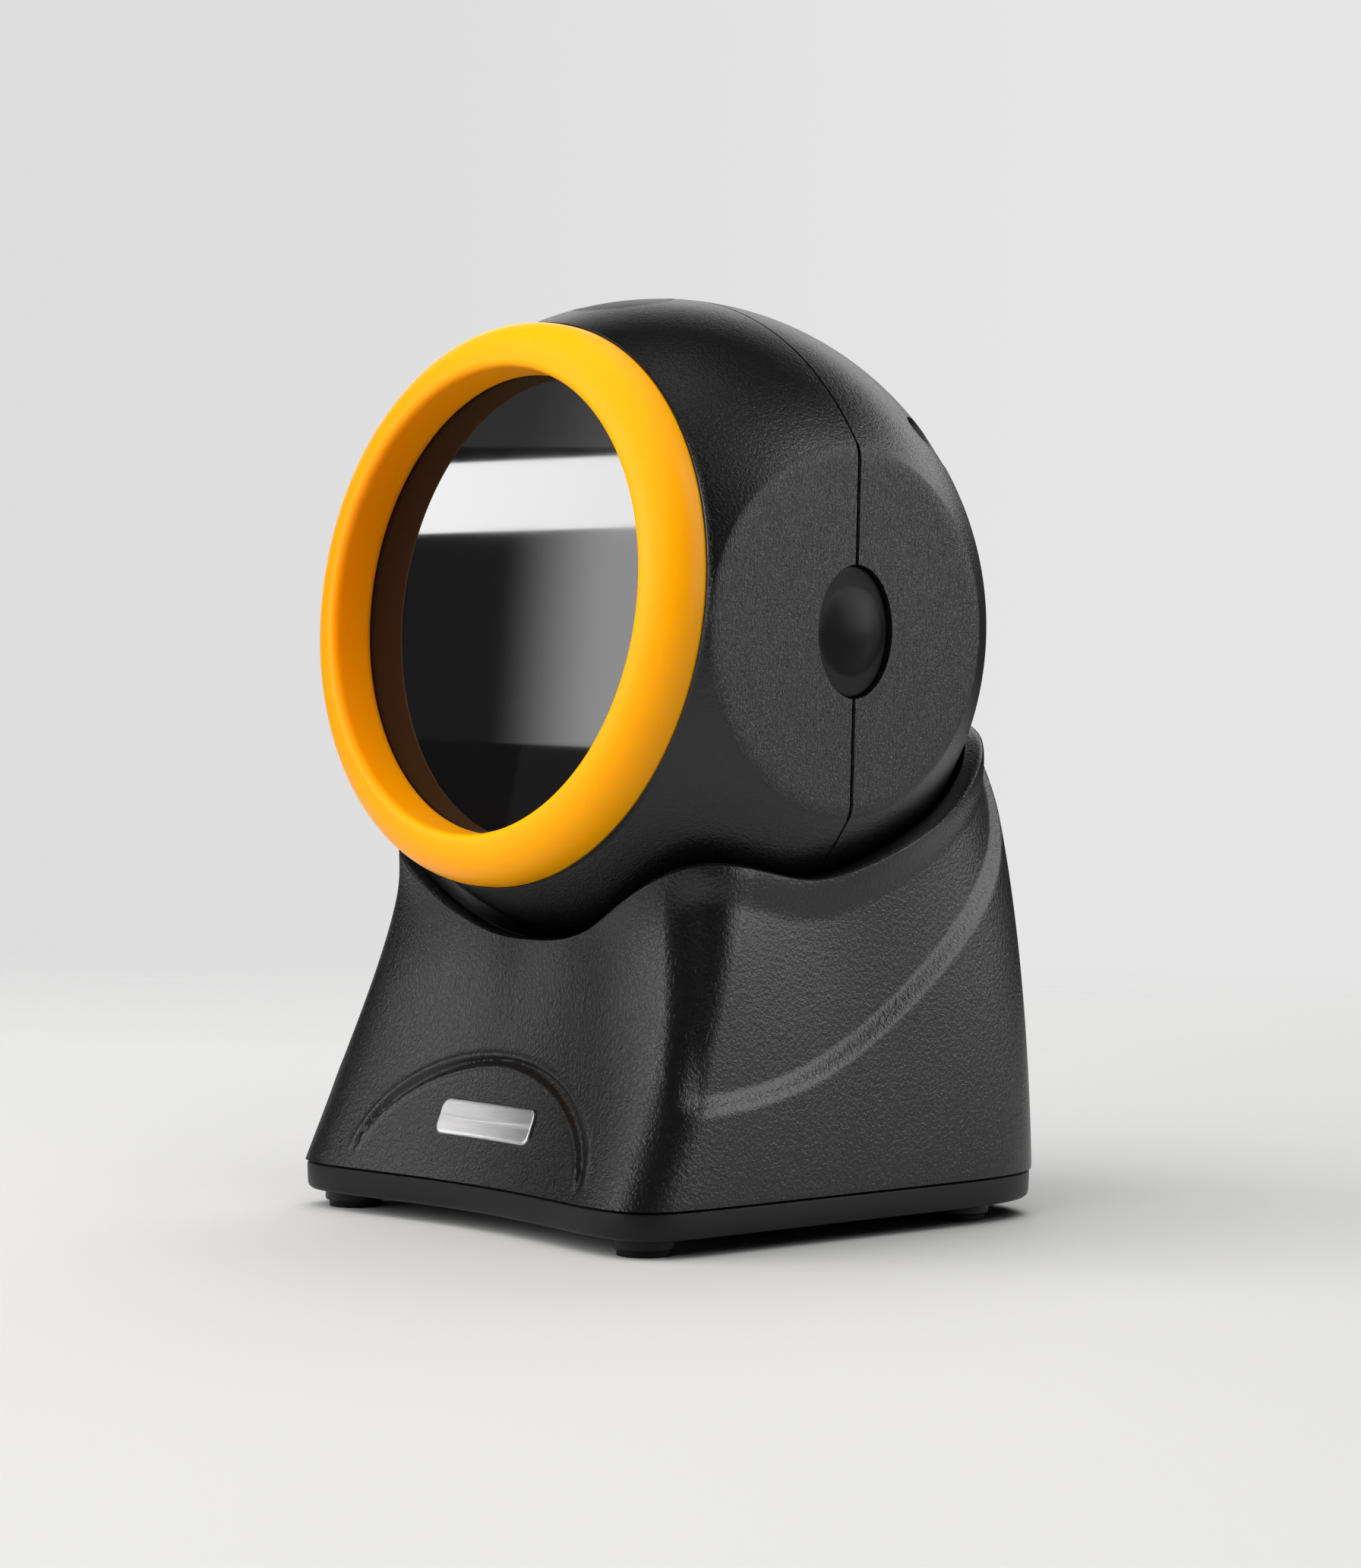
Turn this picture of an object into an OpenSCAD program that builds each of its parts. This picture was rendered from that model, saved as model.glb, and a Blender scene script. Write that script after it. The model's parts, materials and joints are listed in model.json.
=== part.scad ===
// Desktop presentation scanner: a ball-shaped reading head with an amber bezel,
// held on a tilt pivot inside the cradle of a weighted base.
// Millimetres, +Z up, the window faces -Y. The origin is on the standing surface,
// under the middle of the whole object.

/* [Head] */
// Radius of the ball-shaped head
ball_r = 52; // [51.5:0.1:52.2]
// Height of the ball's centre above the standing surface
ball_z = 93.5; // [93:0.1:94.5]
// Distance of the ball's centre from the middle of the base, towards the front
ball_forward = 6.55; // [6:0.05:7]
// Distance of each flat side disc from the ball's centre
side_flat = 44; // [43.5:0.1:44.5]
// Wall of the head shells
head_wall = 2.2; // [1.8:0.1:2.5]
// How far the head leans back when it rests
head_lean = 1; // [0:0.5:2]
// How far the split between front and rear shell lies behind the centre
seam_back = 1.2; // [1:0.1:1.5]

/* [Bezel and window] */
// Upward angle of the bezel's axis within the head
bezel_lift = 5.6; // [4:0.2:6]
// Outer radius of the amber ring
ring_r = 43.9; // [43.6:0.1:44]
// Radius of the ring's crest
crest_r = 37.4; // [37:0.1:38]
// Radius of the clear opening in the ring
opening_r = 35.8; // [35.4:0.1:36]
// Distance of the ring's crest from the ball's centre
crest_d = 37.3; // [36.8:0.1:37.6]
// Distance of the window's outer face from the ball's centre
window_d = 30; // [29.8:0.1:30.2]
// Thickness of the window
window_t = 2; // [1.5:0.1:2]

/* [Tilt] */
// Diameter of the steel axle
axle_d = 6; // [5:0.5:6]
// Clearance round the axle in its bushes, on the radius
axle_gap = 0.05; // [0.03:0.01:0.08]
// Farthest that the front of the head tips down
tilt_down = 13; // [10:1:13]
// Farthest that the front of the head tips up
tilt_up = 12; // [8:1:12]

/* [Base] */
// Half width of the base at its foot
foot_x = 44.3; // [44:0.1:44.6]
// Distance of the front face's middle from the ball's axis, at its foot
foot_front = 38; // [37.5:0.1:38.5]
// Distance of the rear face from the ball's axis, at its foot
foot_rear = 52; // [51:0.1:52.5]
// How far the front corners stand ahead of the hollowed front face
front_hollow = 8; // [7:0.1:9]
// Height of the joint line between base plate and shell
seam_z = 7.3; // [7:0.1:7.6]
// Height of the base plate's underside
plate_z = 2.8; // [2.6:0.1:3]
// Wall of the base shell
base_wall = 2.2; // [2:0.1:2.4]
// Inner radius of the cradle round the ball
cradle_r = 54.1; // [54:0.1:54.4]
// Thickness of the cradle's lip
lip_t = 1.5; // [1.4:0.1:1.6]
// Depth of the sunken upper part of each side
side_sink = 1.5; // [1:0.1:1.8]
// Spacing of the feet, across
feet_x = 70.6; // [70:0.2:71]
// Spacing of the feet, front to back
feet_y = 66.2; // [66:0.2:67]
// Diameter of the rubber feet
pad_d = 8.5; // [8:0.1:9]

/* [Hidden] */

$fn = 64;
nudge = 0.01;               // keeps cutting shapes clear of the faces they cut
axis_y = -ball_forward;     // Y of the ball's centre
ball_in = ball_r - head_wall;
flat_in = side_flat - head_wall;

black = [0.13, 0.13, 0.135];
dark = [0.07, 0.07, 0.075];
amber = [1.0, 0.66, 0.08];
steel = [0.72, 0.73, 0.75];
brass = [0.80, 0.66, 0.32];
board_green = [0.10, 0.36, 0.22];
ivory = [0.92, 0.92, 0.88];

// ---------------------------------------------------------------- helpers

module tube(outer_r, inner_r, height) {
    difference() {
        cylinder(r = outer_r, h = height);
        translate([0, 0, -nudge]) cylinder(r = inner_r, h = height + 2 * nudge);
    }
}

// A plate of x by y with round corners, made of exact parts
module round_plate(x, y, height, corner) {
    linear_extrude(height) {
        square([x - 2 * corner, y], center = true);
        square([x, y - 2 * corner], center = true);
        for (i = [-1, 1], j = [-1, 1])
            translate([i * (x / 2 - corner), j * (y / 2 - corner)]) circle(corner);
    }
}

// A pan-head screw: the head's top is at z = 0, and the shank runs down
module screw(shank_d, length, head_d, head_h) {
    difference() {
        union() {
            translate([0, 0, -head_h]) cylinder(d = head_d, h = head_h);
            translate([0, 0, -head_h - length]) cylinder(d = shank_d, h = length + nudge);
        }
        for (a = [0, 90])
            rotate(a) translate([-head_d * 0.3, -0.4, -head_h * 0.5])
                cube([head_d * 0.6, 0.8, head_h]);
    }
}

module both_sides() {
    children();
    mirror([1, 0, 0]) children();
}

// Places: round the ball's vertical axis, in the leaning head, along the bezel's axis
module round_axis() { translate([0, axis_y, 0]) children(); }
module in_head() { translate([0, axis_y, ball_z]) rotate([-head_lean, 0, 0]) children(); }
module along_bezel() { rotate([-bezel_lift, 0, 0]) rotate([90, 0, 0]) children(); }
// A shape drawn on XZ seen from the front, pushed back from y = 0
module from_front() { rotate([90, 0, 0]) children(); }

// ---------------------------------------------------------------- base form
// Angles run from the front (0) round the right side (90) to the rear (180).

function mix(a, b, t) = a + (b - a) * t;
function clamp(v, lo, hi) = min(max(v, lo), hi);
function smooth(t) = let (u = clamp(t, 0, 1)) u * u * (3 - 2 * u);

upper_z = 60;               // height at which the upper section is stated
top_x = 39.8;               // half width there
top_front = 16.8;           // front face there
top_rear = 54.2;            // rear face there
top_hollow = 4.6;           // hollow of the front face there

// The cradle's edge: angle from the front, height
RIM = [[0, 45.1], [28, 47.3], [56, 58.2], [88, 55.9], [118, 63.7], [150, 76.7], [180, 80]];
rim_last = len(RIM) - 1;
function rim_slope(i) = (i <= 0 || i >= rim_last) ? 0
    : (RIM[i + 1][1] - RIM[i - 1][1]) / (RIM[i + 1][0] - RIM[i - 1][0]);
function rim_index(a, i = 0) = (i >= rim_last - 1 || a < RIM[i + 1][0]) ? i : rim_index(a, i + 1);
function rim_curve(a, i) =
    let (w = RIM[i + 1][0] - RIM[i][0], t = (a - RIM[i][0]) / w)
    (2 * t^3 - 3 * t^2 + 1) * RIM[i][1] + (t^3 - 2 * t^2 + t) * w * rim_slope(i)
    + (3 * t^2 - 2 * t^3) * RIM[i + 1][1] + (t^3 - t^2) * w * rim_slope(i + 1);
function rim_z(a) = rim_curve(abs(a), rim_index(abs(a)));

// Distance from the ball's axis to a rounded four-sided section at height z
function section_r(a, z) =
    let (t = (z - seam_z) / (upper_z - seam_z),
         half_x = foot_x - (foot_x - top_x) * pow(max(t, 0), 1.5),
         middle = mix(foot_front, top_front, t),
         near_corner = cos(a) > 0.05 ? min(1.14, abs(tan(a)) * middle / half_x) : 1.14,
         front = middle + mix(front_hollow, top_hollow, t) * near_corner * near_corner,
         rear = mix(foot_rear, top_rear, t),
         p = cos(a) > 0 ? mix(6.5, 3.5, t) : mix(5.7, 4.1, t),
         depth = cos(a) > 0 ? front : rear)
    pow(pow(abs(sin(a)) / half_x, p) + pow(abs(cos(a)) / depth, p), -1 / p);

// The ledge that sweeps up each side; above and ahead of it the side is sunken
sweep_start = 46;
sweep_z = 22;
function ledge_z(a) = sweep_z + 34 * pow(max(abs(a) - sweep_start, 0) / 90.5, 2.4);
function sink(a, z) =
    side_sink * smooth((z - ledge_z(a) + 1.5) / 3.5) * smooth((abs(a) - 50) / 7)
    * smooth((rim_z(a) - z) / 7);

function lip_r(z) = sqrt((cradle_r + lip_t)^2 - (z - ball_z)^2);
function skin_z(a, t) = seam_z + (rim_z(a) - seam_z) * t;
function skin_r(a, t) =
    let (z = skin_z(a, t), top = rim_z(a))
    section_r(a, z) + t^3 * (lip_r(top) - section_r(a, top)) - sink(a, z);

// The slot in the cradle's floor that the pivot post passes through
function slot_r(a) = pow(pow(abs(sin(a)) / 17, 4) + pow(abs(cos(a)) / 19, 4), -1 / 4);
// Depth of the cradle's sphere, on its inner or its under face
function bowl_z(r, ball) = ball_z - sqrt(ball^2 - r^2);
// How far up the wall, as a part of its height, the cradle's underside meets it
under_r = cradle_r + base_wall;
function wall_meets(a, lo = 0.3, hi = 1, n = 14) =
    let (m = (lo + hi) / 2, r = skin_r(a, m) - base_wall)
    n == 0 ? m
    : (r < under_r && bowl_z(r, under_r) > skin_z(a, m)) ? wall_meets(a, m, hi, n - 1)
    : wall_meets(a, lo, m, n - 1);

function ring_at(r, z, a) = [r * sin(a), axis_y - r * cos(a), z];
outer_rows = 15;
bowl_rows = 4;
inner_rows = 6;
around = 96;
function shell_profile(a) =
    let (top = rim_z(a), lip = lip_r(top), throat = sqrt(cradle_r^2 - (top - ball_z)^2),
         hole = slot_r(a), meet = wall_meets(a), meet_r = skin_r(a, meet) - base_wall)
    concat(
        [for (i = [0 : outer_rows - 1]) let (t = i / outer_rows) [skin_r(a, t), skin_z(a, t)]],
        [[lip - 0.1, top - 0.5], [mix(lip, throat, 0.35), top], [throat + 0.15, top - 0.1]],
        [for (i = [0 : bowl_rows]) let (r = mix(throat, hole, i / bowl_rows))
            [r, bowl_z(r, cradle_r) - (i == 0 ? 0.4 : 0)]],
        [for (i = [0 : bowl_rows]) let (r = mix(hole, meet_r, i / bowl_rows)) [r, bowl_z(r, under_r)]],
        [for (i = [1 : inner_rows]) let (t = meet * (1 - i / inner_rows))
            [skin_r(a, t) - base_wall, skin_z(a, t)]]);

module shell_wall() {
    rows = outer_rows + 3 + 2 * (bowl_rows + 1) + inner_rows;
    profiles = [for (k = [0 : around - 1]) shell_profile(-180 + k * 360 / around)];
    points = [for (k = [0 : around - 1], p = profiles[k])
        ring_at(p[0], p[1], -180 + k * 360 / around)];
    function at(k, i) = (k % around) * rows + (i % rows);
    polyhedron(points, [for (k = [0 : around - 1], i = [0 : rows - 1], half = [0, 1])
        half == 0 ? [at(k, i), at(k, i + 1), at(k + 1, i + 1)]
        : [at(k, i), at(k + 1, i + 1), at(k + 1, i)]]);
}

// ---------------------------------------------------------------- base parts

jack_w = 15.4;
jack_h = 12.4;
jack_floor = 10.8;          // underside of the jack, on the interface board
jack_face = 49.4;           // its face, behind the ball's axis
plate_floor = 5;            // top of the base plate's floor
boss_x = 27;                // screw bosses of the shell, from the ball's axis
boss_front = -27;
boss_rear = 40;
boss_r = 3.6;
boss_low = 6.4;             // where they meet the raised pads of the base plate
rib_end = 41.5;             // where their ribs enter the side walls
thread_hole = 1.52;         // radius of the holes that 3 mm screws thread into
lean_front = atan((foot_front - top_front) / (upper_z - seam_z));
badge_w = 22.6;
badge_h = 5.9;
badge_t = 0.9;
badge_z = 16.8;

module at_bosses() {
    for (x = [-boss_x, boss_x], y = [boss_front, boss_rear]) translate([x, axis_y + y, 0]) children();
}

module at_feet() {
    feet_mid = 0.3;         // the feet's middle, behind the ball's axis
    for (i = [-1, 1], j = [-1, 1])
        translate([i * feet_x / 2, axis_y + feet_mid + j * feet_y / 2, 0]) children();
}

// The badge's frame: +Z out of the front face, X to the right
module at_badge(proud) {
    translate([0, axis_y, badge_z]) rotate([90 - lean_front, 0, 0]) translate([0, 0, proud]) children();
}
badge_seat = (section_r(0, badge_z)) * cos(lean_front);

module base_shell() color(black) {
    difference() {
        shell_wall();
        at_badge(badge_seat - 0.4) round_plate(badge_w + 0.2, badge_h + 0.2, 4, 1.1);
        translate([-jack_w / 2 - 0.3, axis_y + jack_face - 3, jack_floor - 0.5])
            cube([jack_w + 0.6, 10, jack_h + 1]);
    }
    at_bosses() translate([0, 0, boss_low]) tube(boss_r, 1.37, 12.6);
    // ribs that tie the bosses to the wall
    for (i = [-1, 1], y = [boss_front, boss_rear])
        translate([(i > 0 ? boss_x + 3 : -rib_end), axis_y + y - 1, boss_low + 1.6])
            cube([rib_end - boss_x - 3, 2, 10]);
}

function outline(a_step, inset) = [for (a = [-180 : a_step : 179])
    let (r = section_r(a, seam_z) - inset) [r * sin(a), axis_y - r * cos(a)]];

module base_plate() color(dark) {
    step = 5;
    difference() {
        union() {
            translate([0, 0, plate_z]) linear_extrude(0.8) polygon(outline(step, 1.1));
            translate([0, 0, plate_z + 0.8]) linear_extrude(seam_z - plate_z - 0.9)
                polygon(outline(step, 0.35));
            at_feet() translate([0, 0, 1.2]) cylinder(d = pad_d + 1.2, h = plate_z);
        }
        translate([0, 0, plate_floor]) linear_extrude(4) polygon(outline(step, 2.6));
        at_feet() translate([0, 0, -1]) cylinder(d = pad_d, h = 3.4);
        at_bosses() translate([0, 0, -1]) cylinder(r = 3.2, h = 10);
        at_ballast_screws() translate([0, 0, 1]) cylinder(r = thread_hole, h = 5);
        at_post_screws() translate([0, 0, 1]) cylinder(r = thread_hole, h = 5);
    }
    // cups round the base screws' heads
    at_bosses() difference() {
        translate([0, 0, plate_z]) cylinder(r = boss_r + 0.8, h = boss_low - plate_z - 0.05);
        translate([0, 0, -1]) cylinder(r = 3.2, h = boss_low - 0.5);
        cylinder(r = 1.6, h = 10);
    }
    // posts under the interface board
    for (x = [-16, 16], y = [33, 45])
        translate([x, axis_y + y, plate_floor - nudge]) tube(2.4, 0.9, board_z - plate_floor);
}

module rubber_feet() color([0.05, 0.05, 0.05]) at_feet() cylinder(d = pad_d, h = 2.4);

module base_screws() color(steel) at_bosses()
    translate([0, 0, plate_z + 0.2]) mirror([0, 0, 1]) screw(2.7, 9, 6, 1.9);

module name_badge() color(steel) at_badge(badge_seat - 0.4) round_plate(badge_w, badge_h, badge_t, 1);

ballast_h = 9;
ballast_w = 42;
ballast_y = -24;            // its middle, from the ball's axis
ballast_x = 14;             // its screws
module at_ballast_screws() for (x = [-ballast_x, ballast_x]) translate([x, axis_y + ballast_y, 0]) children();

module ballast_weight() color([0.42, 0.43, 0.45]) difference() {
    translate([0, axis_y + ballast_y, plate_floor]) round_plate(ballast_w, 17, ballast_h, 3);
    at_ballast_screws() {
        cylinder(d = 3.4, h = 20);
        translate([0, 0, plate_floor + ballast_h - 2]) cylinder(d = 6.6, h = 4);
    }
}

module ballast_screws() color(steel) at_ballast_screws()
    translate([0, 0, plate_floor + ballast_h]) screw(3, 8.6, 6, 2);

board_z = 9.2;              // underside of the interface board
board_t = 1.6;
module interface_board() color(board_green) difference() {
    translate([0, axis_y + 39, board_z]) round_plate(40, 20, board_t, 1);
    for (x = [-16, 16], y = [33, 45]) translate([x, axis_y + y, board_z - 1]) cylinder(d = 2.2, h = 4);
}

jack_depth = 14;
module cable_jack() color(dark) {
    plug_w = 11.8;
    plug_h = 6.8;
    translate([0, axis_y + jack_face, jack_floor]) difference() {
        translate([-jack_w / 2, -jack_depth, 0]) cube([jack_w, jack_depth, jack_h]);
        translate([-plug_w / 2, -jack_depth + 2, 2.8]) cube([plug_w, jack_depth, plug_h]);
        translate([-3.2, -jack_depth + 2, 1]) cube([6.4, jack_depth, 3]);
    }
}

module jack_contacts() color(brass) for (k = [-4.5 : 4.5])
    translate([k * 1.05 - 0.2, axis_y + jack_face - jack_depth + 2, jack_floor + 8.9])
        cube([0.4, 8, 0.7]);

post_w = 22;
post_foot = 4;              // thickness of its foot plate
post_rear = 16;             // its rear face, behind the axis
barrel_r = 9;
module pivot_post() color(dark) {
    // side view: X is towards the rear, Y is height from the ball's centre
    difference() {
        round_axis() {
            translate([0, 8.5, plate_floor]) round_plate(52, 30, post_foot, 4);
            translate([-post_w / 2, 0, ball_z]) rotate([90, 0, 90]) linear_extrude(post_w) {
                polygon([[1, plate_floor - ball_z + 3], [post_rear, plate_floor - ball_z + 3], [14, -40],
                    [13, -17], [8.6, -2.6], [-8.2, -3.7], [-5, -12], [3, -26], [3, -40]]);
                circle(barrel_r);
            }
        }
        round_axis() {
            translate([-post_w, 0, ball_z]) rotate([0, 90, 0]) cylinder(d = axle_d + 3, h = 2 * post_w);
            // passage for the lead from the head
            translate([0, 8.5, plate_floor - 1]) cylinder(d = 8, h = 50);
            translate([0, 8.5, 52]) rotate([0, 90, 0]) cylinder(d = 7, h = post_w, center = true);
        }
        at_post_screws() cylinder(d = 3.4, h = 20);
    }
}

module at_post_screws() for (x = [-21, 21], y = [-1, 18]) translate([x, axis_y + y, 0]) children();
module post_screws() color(steel) at_post_screws()
    translate([0, 0, plate_floor + post_foot + 2]) screw(3, post_foot + 1.8, 6, 2);

bush_flange = 1;
module post_bushes() color(brass) both_sides() translate([post_w / 2, axis_y, ball_z]) rotate([0, 90, 0])
    difference() {
        union() {
            translate([0, 0, -9]) cylinder(d = axle_d + 3, h = 9);
            cylinder(d = axle_d + 7, h = bush_flange);
        }
        translate([0, 0, -10]) cylinder(r = axle_d / 2 + axle_gap, h = 20);
    }

// ---------------------------------------------------------------- head shells

module ball(r, flat) intersection() {
    sphere(r, $fn = 128);
    cube([2 * flat, 3 * r, 3 * r], center = true);
}

lip_edge = ring_r + 0.55;
seat_d = window_d - 0.4;    // plane that the bezel ring sits on
screw_x = 32;               // head screws
screw_z = 30;
screw_floor = 15;           // floor of their recesses, behind the centre
slot_w = 28;                // slot under the head for the pivot post
slot_front = ball_r * sin(tilt_down - head_lean);
slot_rear = ball_r * sin(tilt_up + head_lean) + post_rear;
gasket_t = 0.5;
status_r = 8;               // status lens, let into the top
status_lean = 10;
status_seat = 49.9;         // its seat, from the ball's centre
chassis_x = 31;             // chassis screws
chassis_z = 23;
chassis_back = -15.5;       // rear face of the chassis plate
chassis_t = 2.5;

module at_status() rotate([status_lean, 0, 0]) children();

module at_head_screws() {
    for (i = [-1, 1], j = [-1, 1]) translate([i * screw_x, 0, j * screw_z]) rotate([-90, 0, 0]) children();
}

plug_across = 7.7;          // half sizes of the oval plug
plug_tall = 10.15;
// The plug's outline grown by `extra`: tall along local X, fore and aft along local Y
module oval(extra) polygon([for (a = [0 : 7.5 : 359])
    [(plug_tall + extra) * cos(a), seam_back + (plug_across + extra) * sin(a)]]);
// A slice of the oval, standing across X from x = from_x to x = to_x
module oval_slice(extra, from_x, to_x)
    translate([from_x, 0, 0]) rotate([0, 90, 0]) linear_extrude(to_x - from_x) oval(extra);

module head_solid() {
    ball(ball_r, side_flat);
    along_bezel() intersection() {
        translate([0, 0, 26]) cylinder(r = lip_edge, h = 4.1);
        sphere(cradle_r - 0.35, $fn = 128);
    }
}

module head_cuts() {
    ball(ball_in, flat_in);
    translate([-slot_w / 2, -slot_front, -ball_r - 1])
        cube([slot_w, slot_front + slot_rear, ball_r / 2 - 4]);
    oval_slice(0.1, -ball_r, ball_r);
}

module front_shell() color(black) in_head() {
    difference() {
        intersection() {
            head_solid();
            translate([-60, seam_back - 0.05 - 120, -60]) cube([120, 120, 120]);
        }
        difference() {
            head_cuts();
            // the front wall that carries the bezel and the window
            along_bezel() translate([0, 0, seat_d - 3.6]) tube(60, opening_r - 1.2, 3.6);
        }
        along_bezel() {
            translate([0, 0, seat_d]) cylinder(r = ring_r + 0.1, h = 30);
            translate([0, 0, window_d - window_t - gasket_t]) cylinder(r = opening_r + 1.6, h = 30);
            translate([0, 0, 20]) cylinder(r = opening_r - 1.2, h = 40);
        }
        at_status() {
            translate([0, 0, status_seat]) cylinder(r = status_r + 0.1, h = 12);
            translate([0, 0, status_seat - 6]) cylinder(r = status_r - 1, h = 12);
        }
    }
    // bosses for the head screws and for the chassis
    intersection() {
        ball(ball_in + 0.5, flat_in + 0.5);
        along_bezel() translate([0, 0, -50]) cylinder(r = 60, h = 50 + seat_d - 3.2);
        union() {
            for (i = [-1, 1], j = [-1, 1]) translate([i * screw_x, seam_back - 0.05, j * screw_z])
                from_front() tapped_boss(4, 1.3, 30, 12);
            for (i = [-1, 1], j = [-1, 1])
                translate([i * chassis_x, chassis_back - chassis_t, j * chassis_z])
                    from_front() tapped_boss(3, 1.1, 14, 7);
        }
    }
    at_status() translate([0, 0, status_seat - 3.3]) tube(status_r + 0.9, status_r - 1, 3.3);
}

// A round boss along +Z with a blind hole in its near end
module tapped_boss(boss_r, hole_r, height, hole_depth) difference() {
    cylinder(r = boss_r, h = height);
    translate([0, 0, -1]) cylinder(r = hole_r, h = hole_depth + 1);
}

module rear_shell() color(black) in_head() difference() {
    intersection() {
        ball(ball_r, side_flat);
        translate([-60, seam_back + 0.05, -60]) cube([120, 120, 120]);
    }
    difference() {
        head_cuts();
        // left standing inside: bosses for the head screws, and the beeper's collar
        at_head_screws() cylinder(r = 4.9, h = 60);
        at_sound() translate([0, 0, 43]) tube(beeper_r + 1.4, beeper_r + 0.1, 10);
    }
    at_head_screws() {
        translate([0, 0, screw_floor]) cylinder(r = 3.9, h = 40);
        cylinder(r = 1.8, h = 50);
    }
    sound_holes();
}

sound_lift = 12;            // upward angle of the sound holes' middle
beeper_r = 8;
module at_sound() rotate([sound_lift - 90, 0, 0]) children();
module sound_holes() at_sound() {
    hole_r = 0.9;
    translate([0, 0, 40]) cylinder(r = hole_r, h = 20);
    for (ring = [1, 2], k = [1 : 6 * ring]) rotate(k * 60 / ring)
        translate([ring * 3.2, 0, 40]) cylinder(r = hole_r, h = 20);
}

// ---------------------------------------------------------------- bezel, window, plugs

ring_back = seat_d + 0.05;
window_back = window_d - window_t;

module bezel_ring() color(amber) in_head() along_bezel() rotate_extrude($fn = 128) {
    shoulder = ring_back + 1.5;
    polygon(concat(
        [[opening_r, window_d + 0.05], [opening_r + 1.7, window_d + 0.05], [opening_r + 1.7, ring_back],
            [ring_r, ring_back], [ring_r, shoulder - 0.3]],
        // convex outer band, from the rim to the crest
        [for (k = [1 : 6]) let (a = k * 90 / 7)
            [crest_r + (ring_r - 0.2 - crest_r) * cos(a), shoulder + (crest_d - shoulder) * sin(a)]],
        [[crest_r, crest_d], [crest_r - 0.7, crest_d - 0.15], [opening_r + 0.45, crest_d - 0.7]]));
}

module window() color([0.06, 0.06, 0.07, 0.9]) in_head() along_bezel()
    translate([0, 0, window_back]) cylinder(r = opening_r + 1.5, h = window_t, $fn = 128);

module window_gasket() color([0.16, 0.16, 0.16]) in_head() along_bezel()
    translate([0, 0, window_back - gasket_t]) tube(opening_r + 1.5, opening_r - 0.4, gasket_t);

module side_plug() in_head() {
    bump_h = 1.2;
    bump_r = 13.2;
    oval_slice(0, flat_in - 0.6, side_flat - 0.3);
    oval_slice(1.3, flat_in - 1.6, flat_in - 0.1);
    translate([side_flat - 0.3, seam_back, 0]) rotate([0, 90, 0]) intersection() {
        translate([0, 0, bump_h - bump_r]) sphere(bump_r);
        translate([0, 0, -1]) cylinder(r = 5.8, h = 4);
    }
}
module side_plug_right() color(dark) side_plug();
module side_plug_left() color(dark) mirror([1, 0, 0]) side_plug();

module status_lens() color([0.12, 0.12, 0.13]) in_head() intersection() {
    sphere(ball_r - 0.05, $fn = 128);
    at_status() translate([0, 0, status_seat + 0.02]) cylinder(r = status_r, h = 4);
}

module status_light_guide() color([0.9, 0.92, 0.95, 0.7]) in_head() at_status()
    translate([0, 0, status_seat - 2.2]) cylinder(r = status_r - 1.1, h = 2.2);

module status_board() color(board_green) in_head() at_status() {
    translate([0, 0, status_seat - 4.4]) cylinder(r = status_r + 0.8, h = 1);
    for (a = [0, 120, 240]) rotate(a) translate([2.5, -1, status_seat - 3.4]) cube([2, 2, 0.8]);
}

module head_screws() color(steel) in_head() at_head_screws()
    translate([0, 0, screw_floor + 2.2]) screw(2.5, 20, 5.6, 2.2);

// ---------------------------------------------------------------- tilt pivot

washer_x = post_w / 2 + bush_flange + 0.1;
washer_t = 1.2;
bracket_x = washer_x + washer_t + 0.05;
bracket_t = 2.5;
bracket_z = 8;
tab_end = 27;
nut_t = 3;

module axle() color(steel) in_head() rotate([0, 90, 0]) {
    half = bracket_x + bracket_t + nut_t + 1.2;
    translate([0, 0, -half]) cylinder(d = axle_d, h = 2 * half);
}

module axle_nuts() color(steel) in_head() both_sides()
    translate([bracket_x + bracket_t, 0, 0]) rotate([0, 90, 0]) difference() {
        cylinder(r = 5.8, h = nut_t, $fn = 6);
        translate([0, 0, -1]) cylinder(d = axle_d, h = nut_t + 2);
    }

module friction_washers() color([0.35, 0.33, 0.30]) in_head() both_sides()
    translate([washer_x, 0, 0]) rotate([0, 90, 0]) tube(8, axle_d / 2 + 0.02, washer_t);

module bracket() in_head() difference() {
    union() {
        translate([bracket_x, chassis_back, -bracket_z])
            cube([bracket_t, -chassis_back, 2 * bracket_z]);
        translate([bracket_x, 0, 0]) rotate([0, 90, 0]) cylinder(r = bracket_z, h = bracket_t);
        translate([bracket_x, chassis_back, -bracket_z])
            cube([tab_end - bracket_x, bracket_t, 2 * bracket_z]);
    }
    rotate([0, 90, 0]) cylinder(r = axle_d / 2 + 0.02, h = 60);
    at_bracket_screws() cylinder(d = 2.6, h = 20, center = true);
}
module at_bracket_screws() for (j = [-1, 1])
    translate([22, chassis_back + bracket_t, j * 4.5]) rotate([-90, 0, 0]) children();
module pivot_bracket_right() color(steel) bracket();
module pivot_bracket_left() color(steel) mirror([1, 0, 0]) bracket();

module bracket_screws() color(steel) in_head() both_sides()
    at_bracket_screws() translate([0, 0, 1.6]) screw(2.4, 4.8, 4.6, 1.6);

// ---------------------------------------------------------------- chassis and optics

module at_chassis_screws() for (i = [-1, 1], j = [-1, 1])
    translate([i * chassis_x, chassis_back, j * chassis_z]) rotate([-90, 0, 0]) children();

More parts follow.
